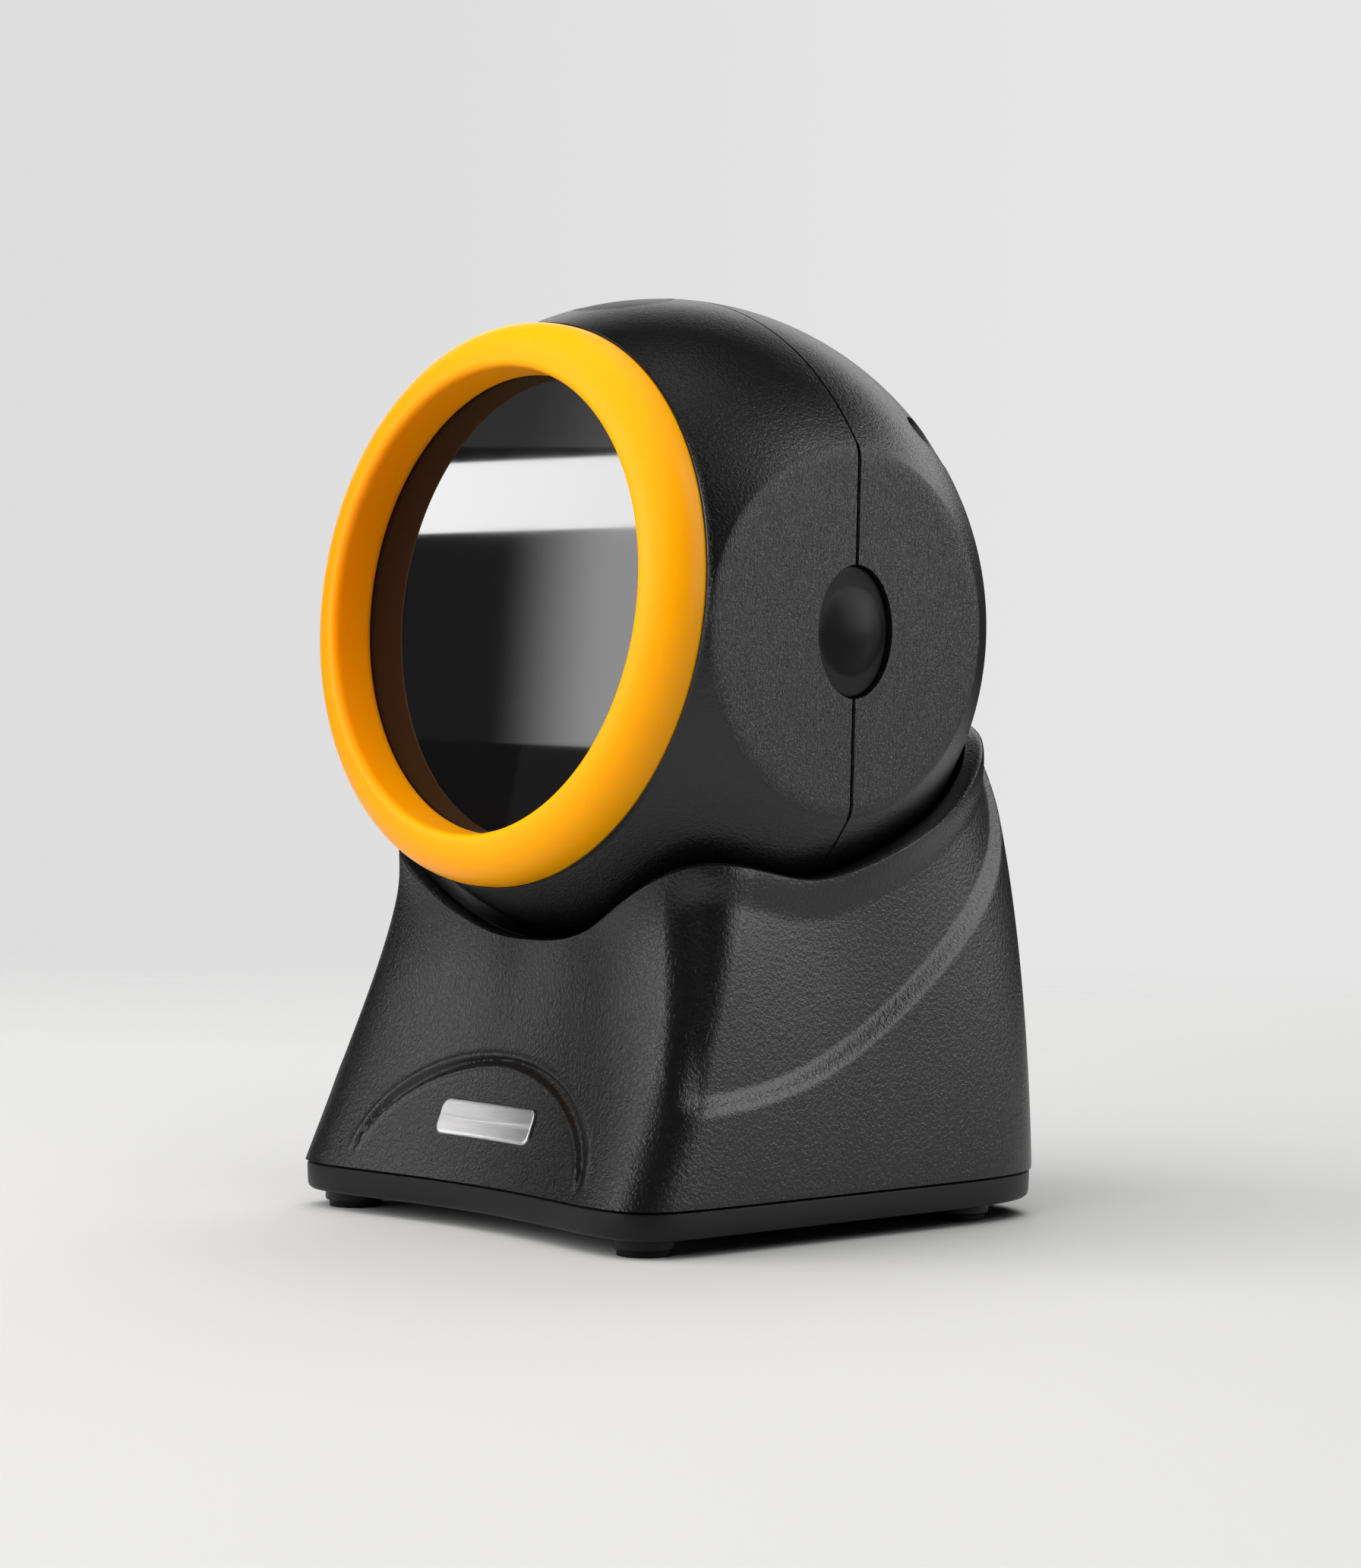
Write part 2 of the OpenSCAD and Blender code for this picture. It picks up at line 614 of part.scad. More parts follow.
camera_front = chassis_back + 2.5;      // front face of the camera board
post_x = 20;                            // posts of the main board
post_low = -12;
post_high = 26;
module at_board_posts() for (x = [-post_x, post_x], z = [post_low, post_high])
    translate([x, chassis_back, z]) rotate([-90, 0, 0]) children();

module chassis_frame() color(ivory) in_head() {
    difference() {
        translate([0, chassis_back, 0]) from_front() round_plate(70, 52.4, chassis_t, 6);
        translate([-7, chassis_back - 4, -7]) cube([14, 5, 14]);
        at_chassis_screws() cylinder(d = 2.6, h = 10, center = true);
        at_board_posts() cylinder(d = 2.2, h = 10, center = true);
        both_sides() at_bracket_screws() cylinder(d = 2.4, h = 20, center = true);
    }
    for (i = [-1, 1], j = [-1, 1]) translate([i * 9.5, chassis_back - nudge, j * 9.5])
        rotate([-90, 0, 0]) tube(1.6, 0.7, camera_front - chassis_back);
}

module chassis_screws() color(steel) in_head()
    at_chassis_screws() translate([0, 0, 1.6]) screw(2.1, 8, 4.6, 1.6);

module camera_board() color(board_green) in_head() difference() {
    translate([0, camera_front + 1.2, 0]) from_front() round_plate(24, 23, 1.2, 1);
    for (i = [-1, 1], j = [-1, 1]) translate([i * 9.5, camera_front, j * 9.5])
        rotate([-90, 0, 0]) cylinder(d = 1.5, h = 4, center = true);
}

module image_sensor() color([0.16, 0.17, 0.22]) in_head()
    translate([-3.5, camera_front - 0.9, -3]) cube([7, 0.9, 6]);

lens_front = -24;
module lens_holder() color(dark) in_head() difference() {
    union() {
        translate([0, camera_front, 0]) from_front() round_plate(12, 12, 5, 1);
        translate([0, camera_front - 4, 0]) from_front() cylinder(r = 4.6, h = camera_front - 4 - lens_front);
    }
    translate([-4, camera_front - 2, -3.5]) cube([8, 3, 7]);
    translate([0, camera_front, 0]) from_front() cylinder(r = 2.4, h = 20);
    translate([0, lens_front + 2.4, 0]) from_front() cylinder(r = 3.5, h = 20);
}

module camera_lens() color([0.5, 0.6, 0.75, 0.5]) in_head() intersection() {
    translate([0, lens_front + 2.4, 0]) from_front() cylinder(r = 3.5, h = 3);
    translate([0, lens_front + 8.4, 0]) sphere(8);
}

light_z = 17;               // middle of each light board, above and below the camera
light_w = 46;
light_h = 9;
chassis_front = chassis_back - chassis_t;
module light_board(z) in_head()
    translate([0, chassis_front, z]) from_front() round_plate(light_w, light_h, 1.2, 1);
module upper_light_board() color(board_green) light_board(light_z);
module lower_light_board() color(board_green) light_board(-light_z);

module light_leds() color([0.95, 0.93, 0.8]) in_head()
    for (x = [-19.5 : 13 : 19.5], z = [-light_z, light_z])
        translate([x - 1.75, chassis_front - 2.6, z - 1.75]) cube([3.5, 1.4, 3.5]);

module light_diffusers() color([0.93, 0.94, 0.95, 0.8]) in_head()
    for (z = [-light_z, light_z]) translate([0, chassis_front - 1.2, z]) from_front() difference() {
        round_plate(light_w, light_h, 3.4, 1);
        translate([0, 0, -1]) round_plate(light_w - 2, light_h - 2, 3.4, 0.5);
    }

module aimer_module() color([0.22, 0.22, 0.24]) in_head() translate([15, chassis_front, 0])
    from_front() difference() {
        round_plate(9, 9, 6, 1);
        translate([0, 0, 3]) cylinder(r = 1.6, h = 4);
    }

// ---------------------------------------------------------------- main board

main_front = 20;            // front face of the main board, behind the centre
main_t = 1.6;
main_z = 7;                 // its middle
module main_board() color(board_green) in_head() difference() {
    translate([0, main_front + main_t, main_z]) from_front() round_plate(48, 46, main_t, 2);
    at_board_posts() translate([0, 0, main_front - chassis_back - 2]) cylinder(d = 2.4, h = 6);
}

module board_posts() color(brass) in_head() at_board_posts() difference() {
    cylinder(r = 2.5, h = main_front - chassis_back, $fn = 6);
    translate([0, 0, main_front - chassis_back - 8]) cylinder(d = 2, h = 9);
}

module board_screws() color(steel) in_head() at_board_posts()
    translate([0, 0, main_front + main_t - chassis_back + 1.4]) screw(2, 6, 4, 1.4);

module shield_can() color(steel) in_head() translate([0, main_front + main_t, 13])
    rotate([-90, 0, 0]) difference() {
        round_plate(24, 20, 3.2, 1);
        translate([0, 0, -1]) round_plate(23.4, 19.4, 3.9, 0.7);
    }

module board_sockets() color(ivory) in_head() {
    translate([-8, main_front + main_t, -11]) cube([16, 5, 5]);
    translate([-6, main_front - 2, 13.2]) cube([12, 2, 4]);
    translate([-6, camera_front + 1.2, 8.2]) cube([12, 1.6, 3]);
}

// Flat cable over the pivot, from the camera board back to the main board
RIBBON = [[-10.2, 11], [-9.5, 12.5], [-7, 14], [-2, 15], [6, 15.4], [14, 15.3], [18, 15.2]];
module ribbon_cable() color([0.85, 0.84, 0.78]) in_head() {
    t = 0.4;
    translate([-5, 0, 0]) rotate([90, 0, 90]) linear_extrude(10) polygon(concat(RIBBON,
        [for (k = [len(RIBBON) - 1 : -1 : 0]) [RIBBON[k][0] + (k == 0 ? t : 0), RIBBON[k][1] - (k == 0 ? 0 : t)]]));
}

module beeper() color([0.1, 0.1, 0.1]) in_head() at_sound() translate([0, 0, 41.5]) difference() {
    cylinder(r = beeper_r, h = 6.5);
    translate([0, 0, 5]) cylinder(r = 1.2, h = 3);
}

// ---------------------------------------------------------------- what is drawn

base_shell();
base_plate();
rubber_feet();
base_screws();
name_badge();
ballast_weight();
ballast_screws();
interface_board();
cable_jack();
jack_contacts();
pivot_post();
post_screws();
post_bushes();
front_shell();
rear_shell();
bezel_ring();
window();
window_gasket();
status_lens();
status_light_guide();
status_board();
side_plug_left();
side_plug_right();
axle();
axle_nuts();
friction_washers();
pivot_bracket_left();
pivot_bracket_right();
bracket_screws();
chassis_frame();
chassis_screws();
camera_board();
image_sensor();
lens_holder();
camera_lens();
upper_light_board();
lower_light_board();
light_leds();
light_diffusers();
aimer_module();
main_board();
board_posts();
board_screws();
shield_can();
board_sockets();
ribbon_cable();
beeper();
head_screws();
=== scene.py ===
import json
import math

import bmesh
import bpy
import numpy as np
from mathutils import Matrix, Vector


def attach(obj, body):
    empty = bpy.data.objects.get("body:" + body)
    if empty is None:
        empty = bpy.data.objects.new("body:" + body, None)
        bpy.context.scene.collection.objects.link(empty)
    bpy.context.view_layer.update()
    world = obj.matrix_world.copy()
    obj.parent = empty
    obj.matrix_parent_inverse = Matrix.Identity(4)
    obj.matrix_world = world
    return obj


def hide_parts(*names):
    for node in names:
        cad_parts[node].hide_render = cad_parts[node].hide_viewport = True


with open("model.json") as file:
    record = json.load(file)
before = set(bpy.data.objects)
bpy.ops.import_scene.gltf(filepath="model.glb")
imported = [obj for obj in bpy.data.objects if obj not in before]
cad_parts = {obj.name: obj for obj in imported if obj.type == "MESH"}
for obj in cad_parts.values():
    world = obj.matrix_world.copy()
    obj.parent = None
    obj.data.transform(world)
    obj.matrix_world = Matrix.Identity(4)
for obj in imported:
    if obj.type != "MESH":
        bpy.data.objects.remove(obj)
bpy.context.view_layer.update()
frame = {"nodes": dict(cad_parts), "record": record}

scene = bpy.context.scene
nodes = frame["nodes"]
MM = 0.001
sin, cos = np.sin, np.cos
COARSE = 1

# ------------------------------------------------------------------ sizes, in mm, as the CAD has them
AXIS_Y, BALL_Z = -6.55, 93.5          # centre of the ball-shaped head, on the tilt axis
BALL_R = 52.0
SIDE_FLAT = 44.0                      # each flat side disc, from the ball's centre
WALL = 2.2                            # of the head shells and of the base shell
INNER_R, INNER_FLAT = BALL_R - WALL, SIDE_FLAT - WALL
HEAD_LEAN = 1.0                       # degrees
SEAM_BACK = 1.2                       # split between the head's shells, behind the ball's centre
SEAM_GAP = 0.05                       # each shell stops this far from the split
BEZEL_LIFT = 5.6                      # degrees
RING_R, CREST_R, OPENING_R = 43.9, 37.4, 35.8
CREST_D, WINDOW_D = 37.3, 30.0        # from the ball's centre, along the bezel's axis
SEAT_D = WINDOW_D - 0.4
CRADLE_R = 54.1
LIP_T = 1.5
PLATE_Z, SEAM_Z, UPPER_Z = 2.8, 7.3, 60.0
FOOT_X, TOP_X = 44.3, 39.8            # half width of the base, at SEAM_Z and at UPPER_Z
FOOT_FRONT, TOP_FRONT = 38, 16.8      # its front face, from the ball's axis
FOOT_REAR, TOP_REAR = 52, 54.2
FOOT_HOLLOW, TOP_HOLLOW = 8, 4.6      # how far the front corners stand ahead of the hollowed front face
LEDGE_Z, LEDGE_RISE, LEDGE_START = 22, 34, 46
SIDE_SINK = 1.5
ARCH_Z, BADGE_Z = 9, 16.8
# looks only: the neck behind the ring, and the lip's gap round the ball at the sides and the back
NECK_R = RING_R - 0.1
LIP_GAP = 0.8


# ------------------------------------------------------------------ numbers and curves
def mix(a, b, t):
    return a + (b - a) * t


def ease(t):
    u = np.clip(t, 0, 1)
    return u * u * (3 - 2 * u)


def fractions(first, last, whole):
    return [k / whole for k in range(first, last + 1)]


def circle(count):
    return np.linspace(0, 2 * np.pi, count, endpoint=False)


def bisect(lo, hi, steps, is_low):
    """Closes in, element by element, on the place where is_low turns from true to false."""
    for _ in range(steps):
        m = (lo + hi) / 2
        low = is_low(m)
        lo, hi = np.where(low, m, lo), np.where(low, hi, m)
    return lo, hi


# ------------------------------------------------------------------ mesh helpers
def smooth(obj, sharp_deg=32):
    me = obj.data
    me.polygons.foreach_set("use_smooth", [True] * len(me.polygons))
    me.set_sharp_from_angle(angle=math.radians(sharp_deg))
    me.update()


def to_mesh(name, points, faces, sharp_deg=32):
    """An object from points in mm, with its faces turned outwards."""
    me = bpy.data.meshes.new(name)
    me.from_pydata((np.asarray(points, float) * MM).tolist(), [], faces)
    me.validate()
    bm = bmesh.new()
    bm.from_mesh(me)
    bmesh.ops.recalc_face_normals(bm, faces=bm.faces)
    bm.to_mesh(me)
    bm.free()
    obj = bpy.data.objects.new(name, me)
    scene.collection.objects.link(obj)
    smooth(obj, sharp_deg)
    return obj


def lattice(rows, cols, close_rows=False, start=0):
    """Quads over closed rows of points, stored row by row."""
    i = np.arange(rows if close_rows else rows - 1)[:, None]
    j = np.arange(cols)[None, :]
    i2, j2 = (i + 1) % rows, (j + 1) % cols
    quads = np.stack([i * cols + j, i * cols + j2, i2 * cols + j2, i2 * cols + j], -1) + start
    return quads.reshape(-1, 4).tolist()


def row_face(row, cols):
    """One face over a whole row."""
    return [row * cols + k for k in range(cols)]


def fan(pole, row, cols):
    """Triangles from a whole row to one point."""
    return [(pole, row * cols + j, row * cols + (j + 1) % cols) for j in range(cols)]


def lathe(name, profile, around, closed=True, place=None, sharp_deg=32):
    """A surface of revolution about local Z from (radius, height) pairs; place is a matrix in mm."""
    a = circle(around)
    pr = np.asarray(profile, float)
    pts = np.stack([pr[:, :1] * cos(a), pr[:, :1] * sin(a), pr[:, 1:2] * np.ones_like(a)], -1)
    pts = pts.reshape(-1, 3)
    faces = lattice(len(pr), around, close_rows=closed)
    if not closed:
        faces += [row_face(0, around)[::-1], row_face(len(pr) - 1, around)]
    if place is not None:
        pts = moved(pts, place)
    return to_mesh(name, pts, faces, sharp_deg)


def block(name, lo, hi, place=None):
    pts = [(x, y, z) for x in (lo[0], hi[0]) for y in (lo[1], hi[1]) for z in (lo[2], hi[2])]
    faces = [(0, 1, 3, 2), (4, 6, 7, 5), (0, 4, 5, 1), (2, 3, 7, 6), (0, 2, 6, 4), (1, 5, 7, 3)]
    if place is not None:
        pts = moved(np.array(pts, float), place)
    return to_mesh(name, pts, faces)


def drill(radius, bottom, top, around, place):
    """A round cutter along local Z."""
    return lathe("cut", [(radius, bottom), (radius, top)], around, closed=False, place=place)


def carve(obj, cutters, operation="DIFFERENCE", sharp_deg=32):
    for cutter in cutters:
        m = obj.modifiers.new("carve", "BOOLEAN")
        m.object, m.operation, m.solver = cutter, operation, "EXACT"
    dg = bpy.context.evaluated_depsgraph_get()
    me = bpy.data.meshes.new_from_object(obj.evaluated_get(dg))
    obj.modifiers.clear()
    old, obj.data = obj.data, me
    bpy.data.meshes.remove(old)
    for cutter in cutters:
        bpy.data.objects.remove(cutter)
    smooth(obj, sharp_deg)
    return obj


# ------------------------------------------------------------------ places
def moved(points, place):
    return points @ np.array(place.to_3x3()).T + np.array(place.translation)


def rot_x(deg):
    return Matrix.Rotation(math.radians(deg), 4, "X")


def shift(x, y, z):
    return Matrix.Translation((x, y, z))


IN_HEAD = shift(0, AXIS_Y, BALL_Z) @ rot_x(-HEAD_LEAN)
ALONG_BEZEL = IN_HEAD @ rot_x(-BEZEL_LIFT) @ rot_x(90)
AT_STATUS_LENS = IN_HEAD @ rot_x(10)
AT_SOUND_HOLES = IN_HEAD @ rot_x(12 - 90)
HEAD_SCREWS = [(x * 32, z * 30) for x in (-1, 1) for z in (-1, 1)]
FEET = [(x * 35.3, AXIS_Y + 0.3 + y * 33.1) for x in (-1, 1) for y in (-1, 1)]
BASE_SCREWS = [(x * 27, AXIS_Y + y) for x in (-1, 1) for y in (-27, 40)]

# ------------------------------------------------------------------ the base's form
# height of the cradle's rim at angles from the front, in degrees
RIM = np.array([[0, 45.1], [28, 47.3], [56, 58.2], [88, 55.9], [118, 63.7], [150, 76.7], [180, 80]], float)
RIM_SLOPE = np.zeros(len(RIM))
RIM_SLOPE[1:-1] = (RIM[2:, 1] - RIM[:-2, 1]) / (RIM[2:, 0] - RIM[:-2, 0])


def rim_z(a):
    """A smooth curve through RIM, the same on both sides."""
    a = np.abs(a)
    i = np.clip(np.searchsorted(RIM[:, 0], a, side="right") - 1, 0, len(RIM) - 2)
    w = RIM[i + 1, 0] - RIM[i, 0]
    t = (a - RIM[i, 0]) / w
    return ((2 * t**3 - 3 * t**2 + 1) * RIM[i, 1] + (t**3 - 2 * t**2 + t) * w * RIM_SLOPE[i]
            + (3 * t**2 - 2 * t**3) * RIM[i + 1, 1] + (t**3 - t**2) * w * RIM_SLOPE[i + 1])


def section_r(a, z):
    """Distance of the base's side from the ball's axis, at an angle from the front and a height."""
    s, c = np.abs(sin(np.radians(a))), cos(np.radians(a))
    t = (z - SEAM_Z) / (UPPER_Z - SEAM_Z)
    half_x = FOOT_X - (FOOT_X - TOP_X) * np.maximum(t, 0) ** 1.5
    middle = mix(FOOT_FRONT, TOP_FRONT, t)
    past_corner = 1.14
    near_corner = np.where(c > 0.05, np.minimum(past_corner, s / np.maximum(c, 0.05) * middle / half_x),
                           past_corner)
    front = middle + mix(FOOT_HOLLOW, TOP_HOLLOW, t) * near_corner**2
    depth = np.where(c > 0, front, mix(FOOT_REAR, TOP_REAR, t))
    squareness = np.where(c > 0, mix(6.5, 3.5, t), mix(5.7, 4.1, t))
    return ((s / half_x) ** squareness + (np.abs(c) / depth) ** squareness) ** (-1 / squareness)


def ledge_z(a):
    """The ledge that sweeps up each side towards the back."""
    return LEDGE_Z + LEDGE_RISE * (np.maximum(np.abs(a) - LEDGE_START, 0) / 90.5) ** 2.4


def sink(a, z):
    """How far the side is sunk in above the ledge."""
    above_ledge = ease((z - ledge_z(a) + 1.5) / 3.5)
    past_front = ease((np.abs(a) - 50) / 7)
    below_rim = ease((rim_z(a) - z) / 7)
    return SIDE_SINK * above_ledge * past_front * below_rim


def inside_arch(x, z, half, height, squareness):
    """Distance inside an arch that stands at ARCH_Z; negative outside."""
    u, v = np.abs(x) / half, np.abs(z - ARCH_Z) / height
    f = (u**squareness + v**squareness) ** (1 / squareness)
    slope = np.hypot(u ** (squareness - 1) / half, v ** (squareness - 1) / height)
    slope = slope * np.maximum(f, 1e-6) ** (1 - squareness)
    return (1 - f) / np.maximum(slope, 1e-6)


def arch_groove(x, z):
    """Depth of the crescent channel between two arches, with a soft bead along its edges."""
    within = np.minimum(inside_arch(x, z, 28.5, 17.9, 2.0), -inside_arch(x + 0.6, z, 26.9, 16.2, 1.8))
    bead = 0.2 * np.exp(-(((within + 0.15) / 0.45) ** 2))
    above_foot = ease((z - 8.4) / 4)
    return (0.85 * ease(within) - bead) * above_foot


def lip_r(z):
    """The outer face of the cradle's lip."""
    return np.sqrt((CRADLE_R + LIP_T) ** 2 - (z - BALL_Z) ** 2)


def bowl_z(r, ball):
    """Height of the lower half of a sphere round the ball's centre."""
    return BALL_Z - np.sqrt(ball**2 - r**2)


def skin_z(a, t):
    return SEAM_Z + (rim_z(a) - SEAM_Z) * t


def skin_r(a, t):
    """The base shell's outer face: t runs from 0 at the joint line to 1 at the rim."""
    top, z = rim_z(a), skin_z(a, t)
    r = section_r(a, z) + t**3 * (lip_r(top) - section_r(a, top)) - sink(a, z)
    front = cos(np.radians(a)) > 0.3
    return r - np.where(front, arch_groove(r * sin(np.radians(a)), z), 0)


def ring_points(a, r, z):
    return np.stack([r * sin(np.radians(a)), AXIS_Y - r * cos(np.radians(a)), 0 * a + z], -1)


def build_base_shell(around=900 // COARSE, outer=150 // COARSE):
    a = np.linspace(-180, 180, around, endpoint=False)
    top = rim_z(a)
    lip = lip_r(top)
    throat = np.sqrt(CRADLE_R**2 - (top - BALL_Z) ** 2)
    # the gap round the ball narrows from the front corners to the sides
    nose_r = mix(CRADLE_R, BALL_R + LIP_GAP, ease((np.abs(a) - 35) / 30))
    nose = np.sqrt(nose_r**2 - (top - BALL_Z) ** 2)
    # opening in the bottom of the bowl, for the pivot post
    hole = ((np.abs(sin(np.radians(a))) / 17) ** 4 + (np.abs(cos(np.radians(a))) / 19) ** 4) ** -0.25
    under = CRADLE_R + WALL

    def below_bowl(t):
        r = skin_r(a, t) - WALL
        return (r < under) & (BALL_Z - np.sqrt(np.maximum(under**2 - r**2, 0)) > skin_z(a, t))
    lo, hi = bisect(np.full(around, 0.3), np.ones(around), 18, below_bowl)
    meet = (lo + hi) / 2
    meet_r = skin_r(a, meet) - WALL

    foot = skin_r(a, 0)
    rows = [(foot - 0.35, SEAM_Z), (foot - 0.05, SEAM_Z + 0.12)]
    rows += [(skin_r(a, t), skin_z(a, t)) for t in fractions(2, outer - 1, outer)]
    # rounded lip
    for across, drop in ((0, 0.55), (0.08, 0.25), (0.22, 0.07), (0.4, 0), (0.62, 0), (0.84, 0.06),
                         (0.96, 0.25)):
        rows.append((mix(lip, nose, across), top - drop))
    rows.append((nose, top - 0.55))
    # bowl, its underside and the inner wall
    for t in fractions(1, 13, 13):
        r = mix(throat, hole, t)
        rows.append((r, bowl_z(r, CRADLE_R)))
    for t in fractions(0, 8, 8):
        r = mix(hole, meet_r, t)
        rows.append((r, bowl_z(r, under)))
    for t in fractions(1, 12, 12):
        t = meet * (1 - t)
        rows.append((skin_r(a, t) - WALL, skin_z(a, t)))
    pts = np.concatenate([ring_points(a, r, z) for r, z in rows])
    obj = to_mesh("base_shell_skin", pts, lattice(len(rows), around, close_rows=True))
    # opening for the data socket, at the rear
    socket = block("cut", (-8, AXIS_Y + 46.4, 10.3), (8, AXIS_Y + 60, 23.7))
    return carve(obj, [socket], sharp_deg=38)


def build_base_plate(around=720 // COARSE):
    a = np.linspace(-180, 180, around, endpoint=False)
    outline = section_r(a, SEAM_Z)
    # (inset from the outline, height)
    profile = [(6, PLATE_Z), (1.6, PLATE_Z), (1.1, 2.9), (0.72, 3.2), (0.52, 3.6), (0.42, 4.6), (0.36, 6.6),
               (0.42, 6.95), (0.7, 7.15), (2.6, 7.15), (2.6, 5)]
    pts = np.concatenate([ring_points(a, outline - inset, z) for inset, z in profile])
    faces = lattice(len(profile), around)
    faces += [row_face(0, around), row_face(len(profile) - 1, around)[::-1]]
    obj = to_mesh("base_plate_skin", pts, faces)
    cup = [(4.25, 3), (4.25, 1.2), (4.4, 1.0), (4.62, 1.0), (4.85, 1.25), (4.85, 3)]
    carve(obj, [lathe("cup", cup, 64, place=shift(x, y, 0)) for x, y in FEET], "UNION")
    return carve(obj, [drill(3.2, -1, 4.9, 64, shift(x, y, 0)) for x, y in BASE_SCREWS])


# ------------------------------------------------------------------ the head's shells
CREASE = 0.9                          # rounding between the ball and its flat discs
FLANGE_D = 26.0                       # back of the flange behind the window, from the ball's centre
SLOT_FRONT = BALL_R * math.sin(math.radians(12))
SLOT_REAR = BALL_R * math.sin(math.radians(13)) + 16
PLUG_AROUND = 144


def on_skin(n, ball=BALL_R, flat=SIDE_FLAT):
    """Where the unit vectors n, from the ball's centre, meet the ball with its two flat discs."""
    f = flat / np.maximum(np.abs(n[..., 0]), 1e-6)
    h = np.maximum(CREASE - np.abs(f - ball), 0)
    return n * (np.minimum(f, ball) - h * h / (4 * CREASE))[..., None]


def polar(axis, side):
    """A function of the angle from axis that gives unit vectors towards each direction in side."""
    def direction(alpha):
        alpha = np.broadcast_to(alpha, (len(side),))
        return axis * cos(alpha)[:, None] + side * sin(alpha)[:, None]
    return direction


def seam_angle(direction, towards, y, ball=BALL_R, flat=SIDE_FLAT):
    """Polar angle at which the skin crosses the plane at y; towards is -1 for the front shell."""
    count = len(direction(0))
    lo, hi = np.full(count, math.radians(30)), np.full(count, math.radians(130))
    lo, hi = bisect(lo, hi, 40, lambda m: on_skin(direction(m), ball, flat)[:, 1] * towards > y * towards)
    return (lo + hi) / 2


def groove_half(p):
    """The seam's groove is narrow on the ball and wider across the side discs."""
    return np.where(np.abs(p[:, 0]) > SIDE_FLAT - 0.7, 0.31, 0.17)


def squeeze(p, amount):
    """Moves seam points inwards, across the seam's own plane."""
    q = p.copy()
    r = np.hypot(p[:, 0], p[:, 2])
    q[:, 0] -= p[:, 0] / r * amount
    q[:, 2] -= p[:, 2] / r * amount
    return q


def half_ball(direction, towards, start, inner_end, skin_rows):
    """Rows of one half: the skin from start to the seam, the groove's floor, and the inner face back."""
    seam = SEAM_BACK + towards * SEAM_GAP
    near_seam = on_skin(direction(seam_angle(direction, towards, seam + towards * 0.3)))
    cut = groove_half(near_seam)
    last = seam_angle(direction, towards, seam + towards * cut)
    rows = [on_skin(direction(mix(start, last, t))) for t in fractions(1, skin_rows, skin_rows)]
    edge = on_skin(direction(seam_angle(direction, towards, seam)))
    edge[:, 1] = seam
    rows.append(squeeze(edge, cut + 0.5))
    inner_start = seam_angle(direction, towards, seam, INNER_R, INNER_FLAT)
    inner = [on_skin(direction(mix(inner_start, inner_end, t)), INNER_R, INNER_FLAT)
             for t in fractions(0, 24, 24)]
    inner[0][:, 1] = seam
    return rows + inner


def plug_cutter(side):
    a = circle(PLUG_AROUND)
    y, z = SEAM_BACK + 7.8 * sin(a), 10.25 * cos(a)
    pts = np.concatenate([np.stack([0 * a + x, y, z], -1) for x in (side * 38, side * 50)])
    faces = lattice(2, PLUG_AROUND) + [row_face(0, PLUG_AROUND), row_face(1, PLUG_AROUND)[::-1]]
    return to_mesh("cut", moved(pts, IN_HEAD), faces)


def shared_cutters():
    """The plugs' seats and the slot that lets the head tilt over the pivot post."""
    slot = block("cut", (-14, -SLOT_FRONT, -60), (14, SLOT_REAR, -31), IN_HEAD)
    return [plug_cutter(1), plug_cutter(-1), slot]


def build_front_shell(around=900 // COARSE, skin_rows=130 // COARSE):
    th = circle(around)
    e = math.radians(BEZEL_LIFT)
    b = np.array([0, -math.cos(e), math.sin(e)])
    v = np.array([0, math.sin(e), math.cos(e)])
    side = cos(th)[:, None] * np.array([1.0, 0, 0]) + sin(th)[:, None] * v
    direction = polar(b, side)

    def within_neck(alpha):
        p = on_skin(direction(alpha))
        return (np.einsum("ij,ij->i", p, side) < NECK_R) & (p @ b > 27.6)

    def past_flange(alpha):
        return on_skin(direction(alpha), INNER_R, INNER_FLAT) @ b > FLANGE_D

    _, first = bisect(np.full(around, math.radians(50)), np.full(around, math.radians(60)), 40, within_neck)
    _, inner_end = bisect(np.full(around, math.radians(40)), np.full(around, math.radians(75)), 40,
                          past_flange)
    # (radius, distance) about the bezel's axis: the ring's seat, its thin lip, and the neck behind it
    profile = [(34.6, FLANGE_D), (34.6, 27.5), (37.4, 27.5), (37.4, SEAT_D), (RING_R + 0.1, SEAT_D),
               (RING_R + 0.1, 30.0), (RING_R + 0.13, 30.08), (RING_R + 0.2, 30.1), (RING_R + 0.28, 30.0),
               (RING_R + 0.28, 29.8), (RING_R - 0.2, 29.5), (RING_R - 0.65, 29.15), (RING_R - 0.6, 28.7)]
    rows = [side * r + b * d for r, d in profile] + [on_skin(direction(first))]
    rows += half_ball(direction, -1, first, inner_end, skin_rows)
    obj = to_mesh("front_shell_skin", moved(np.concatenate(rows), IN_HEAD),
                  lattice(len(rows), around, close_rows=True))
    return carve(obj, shared_cutters() + [drill(8.1, 46, 60, 128, AT_STATUS_LENS)])


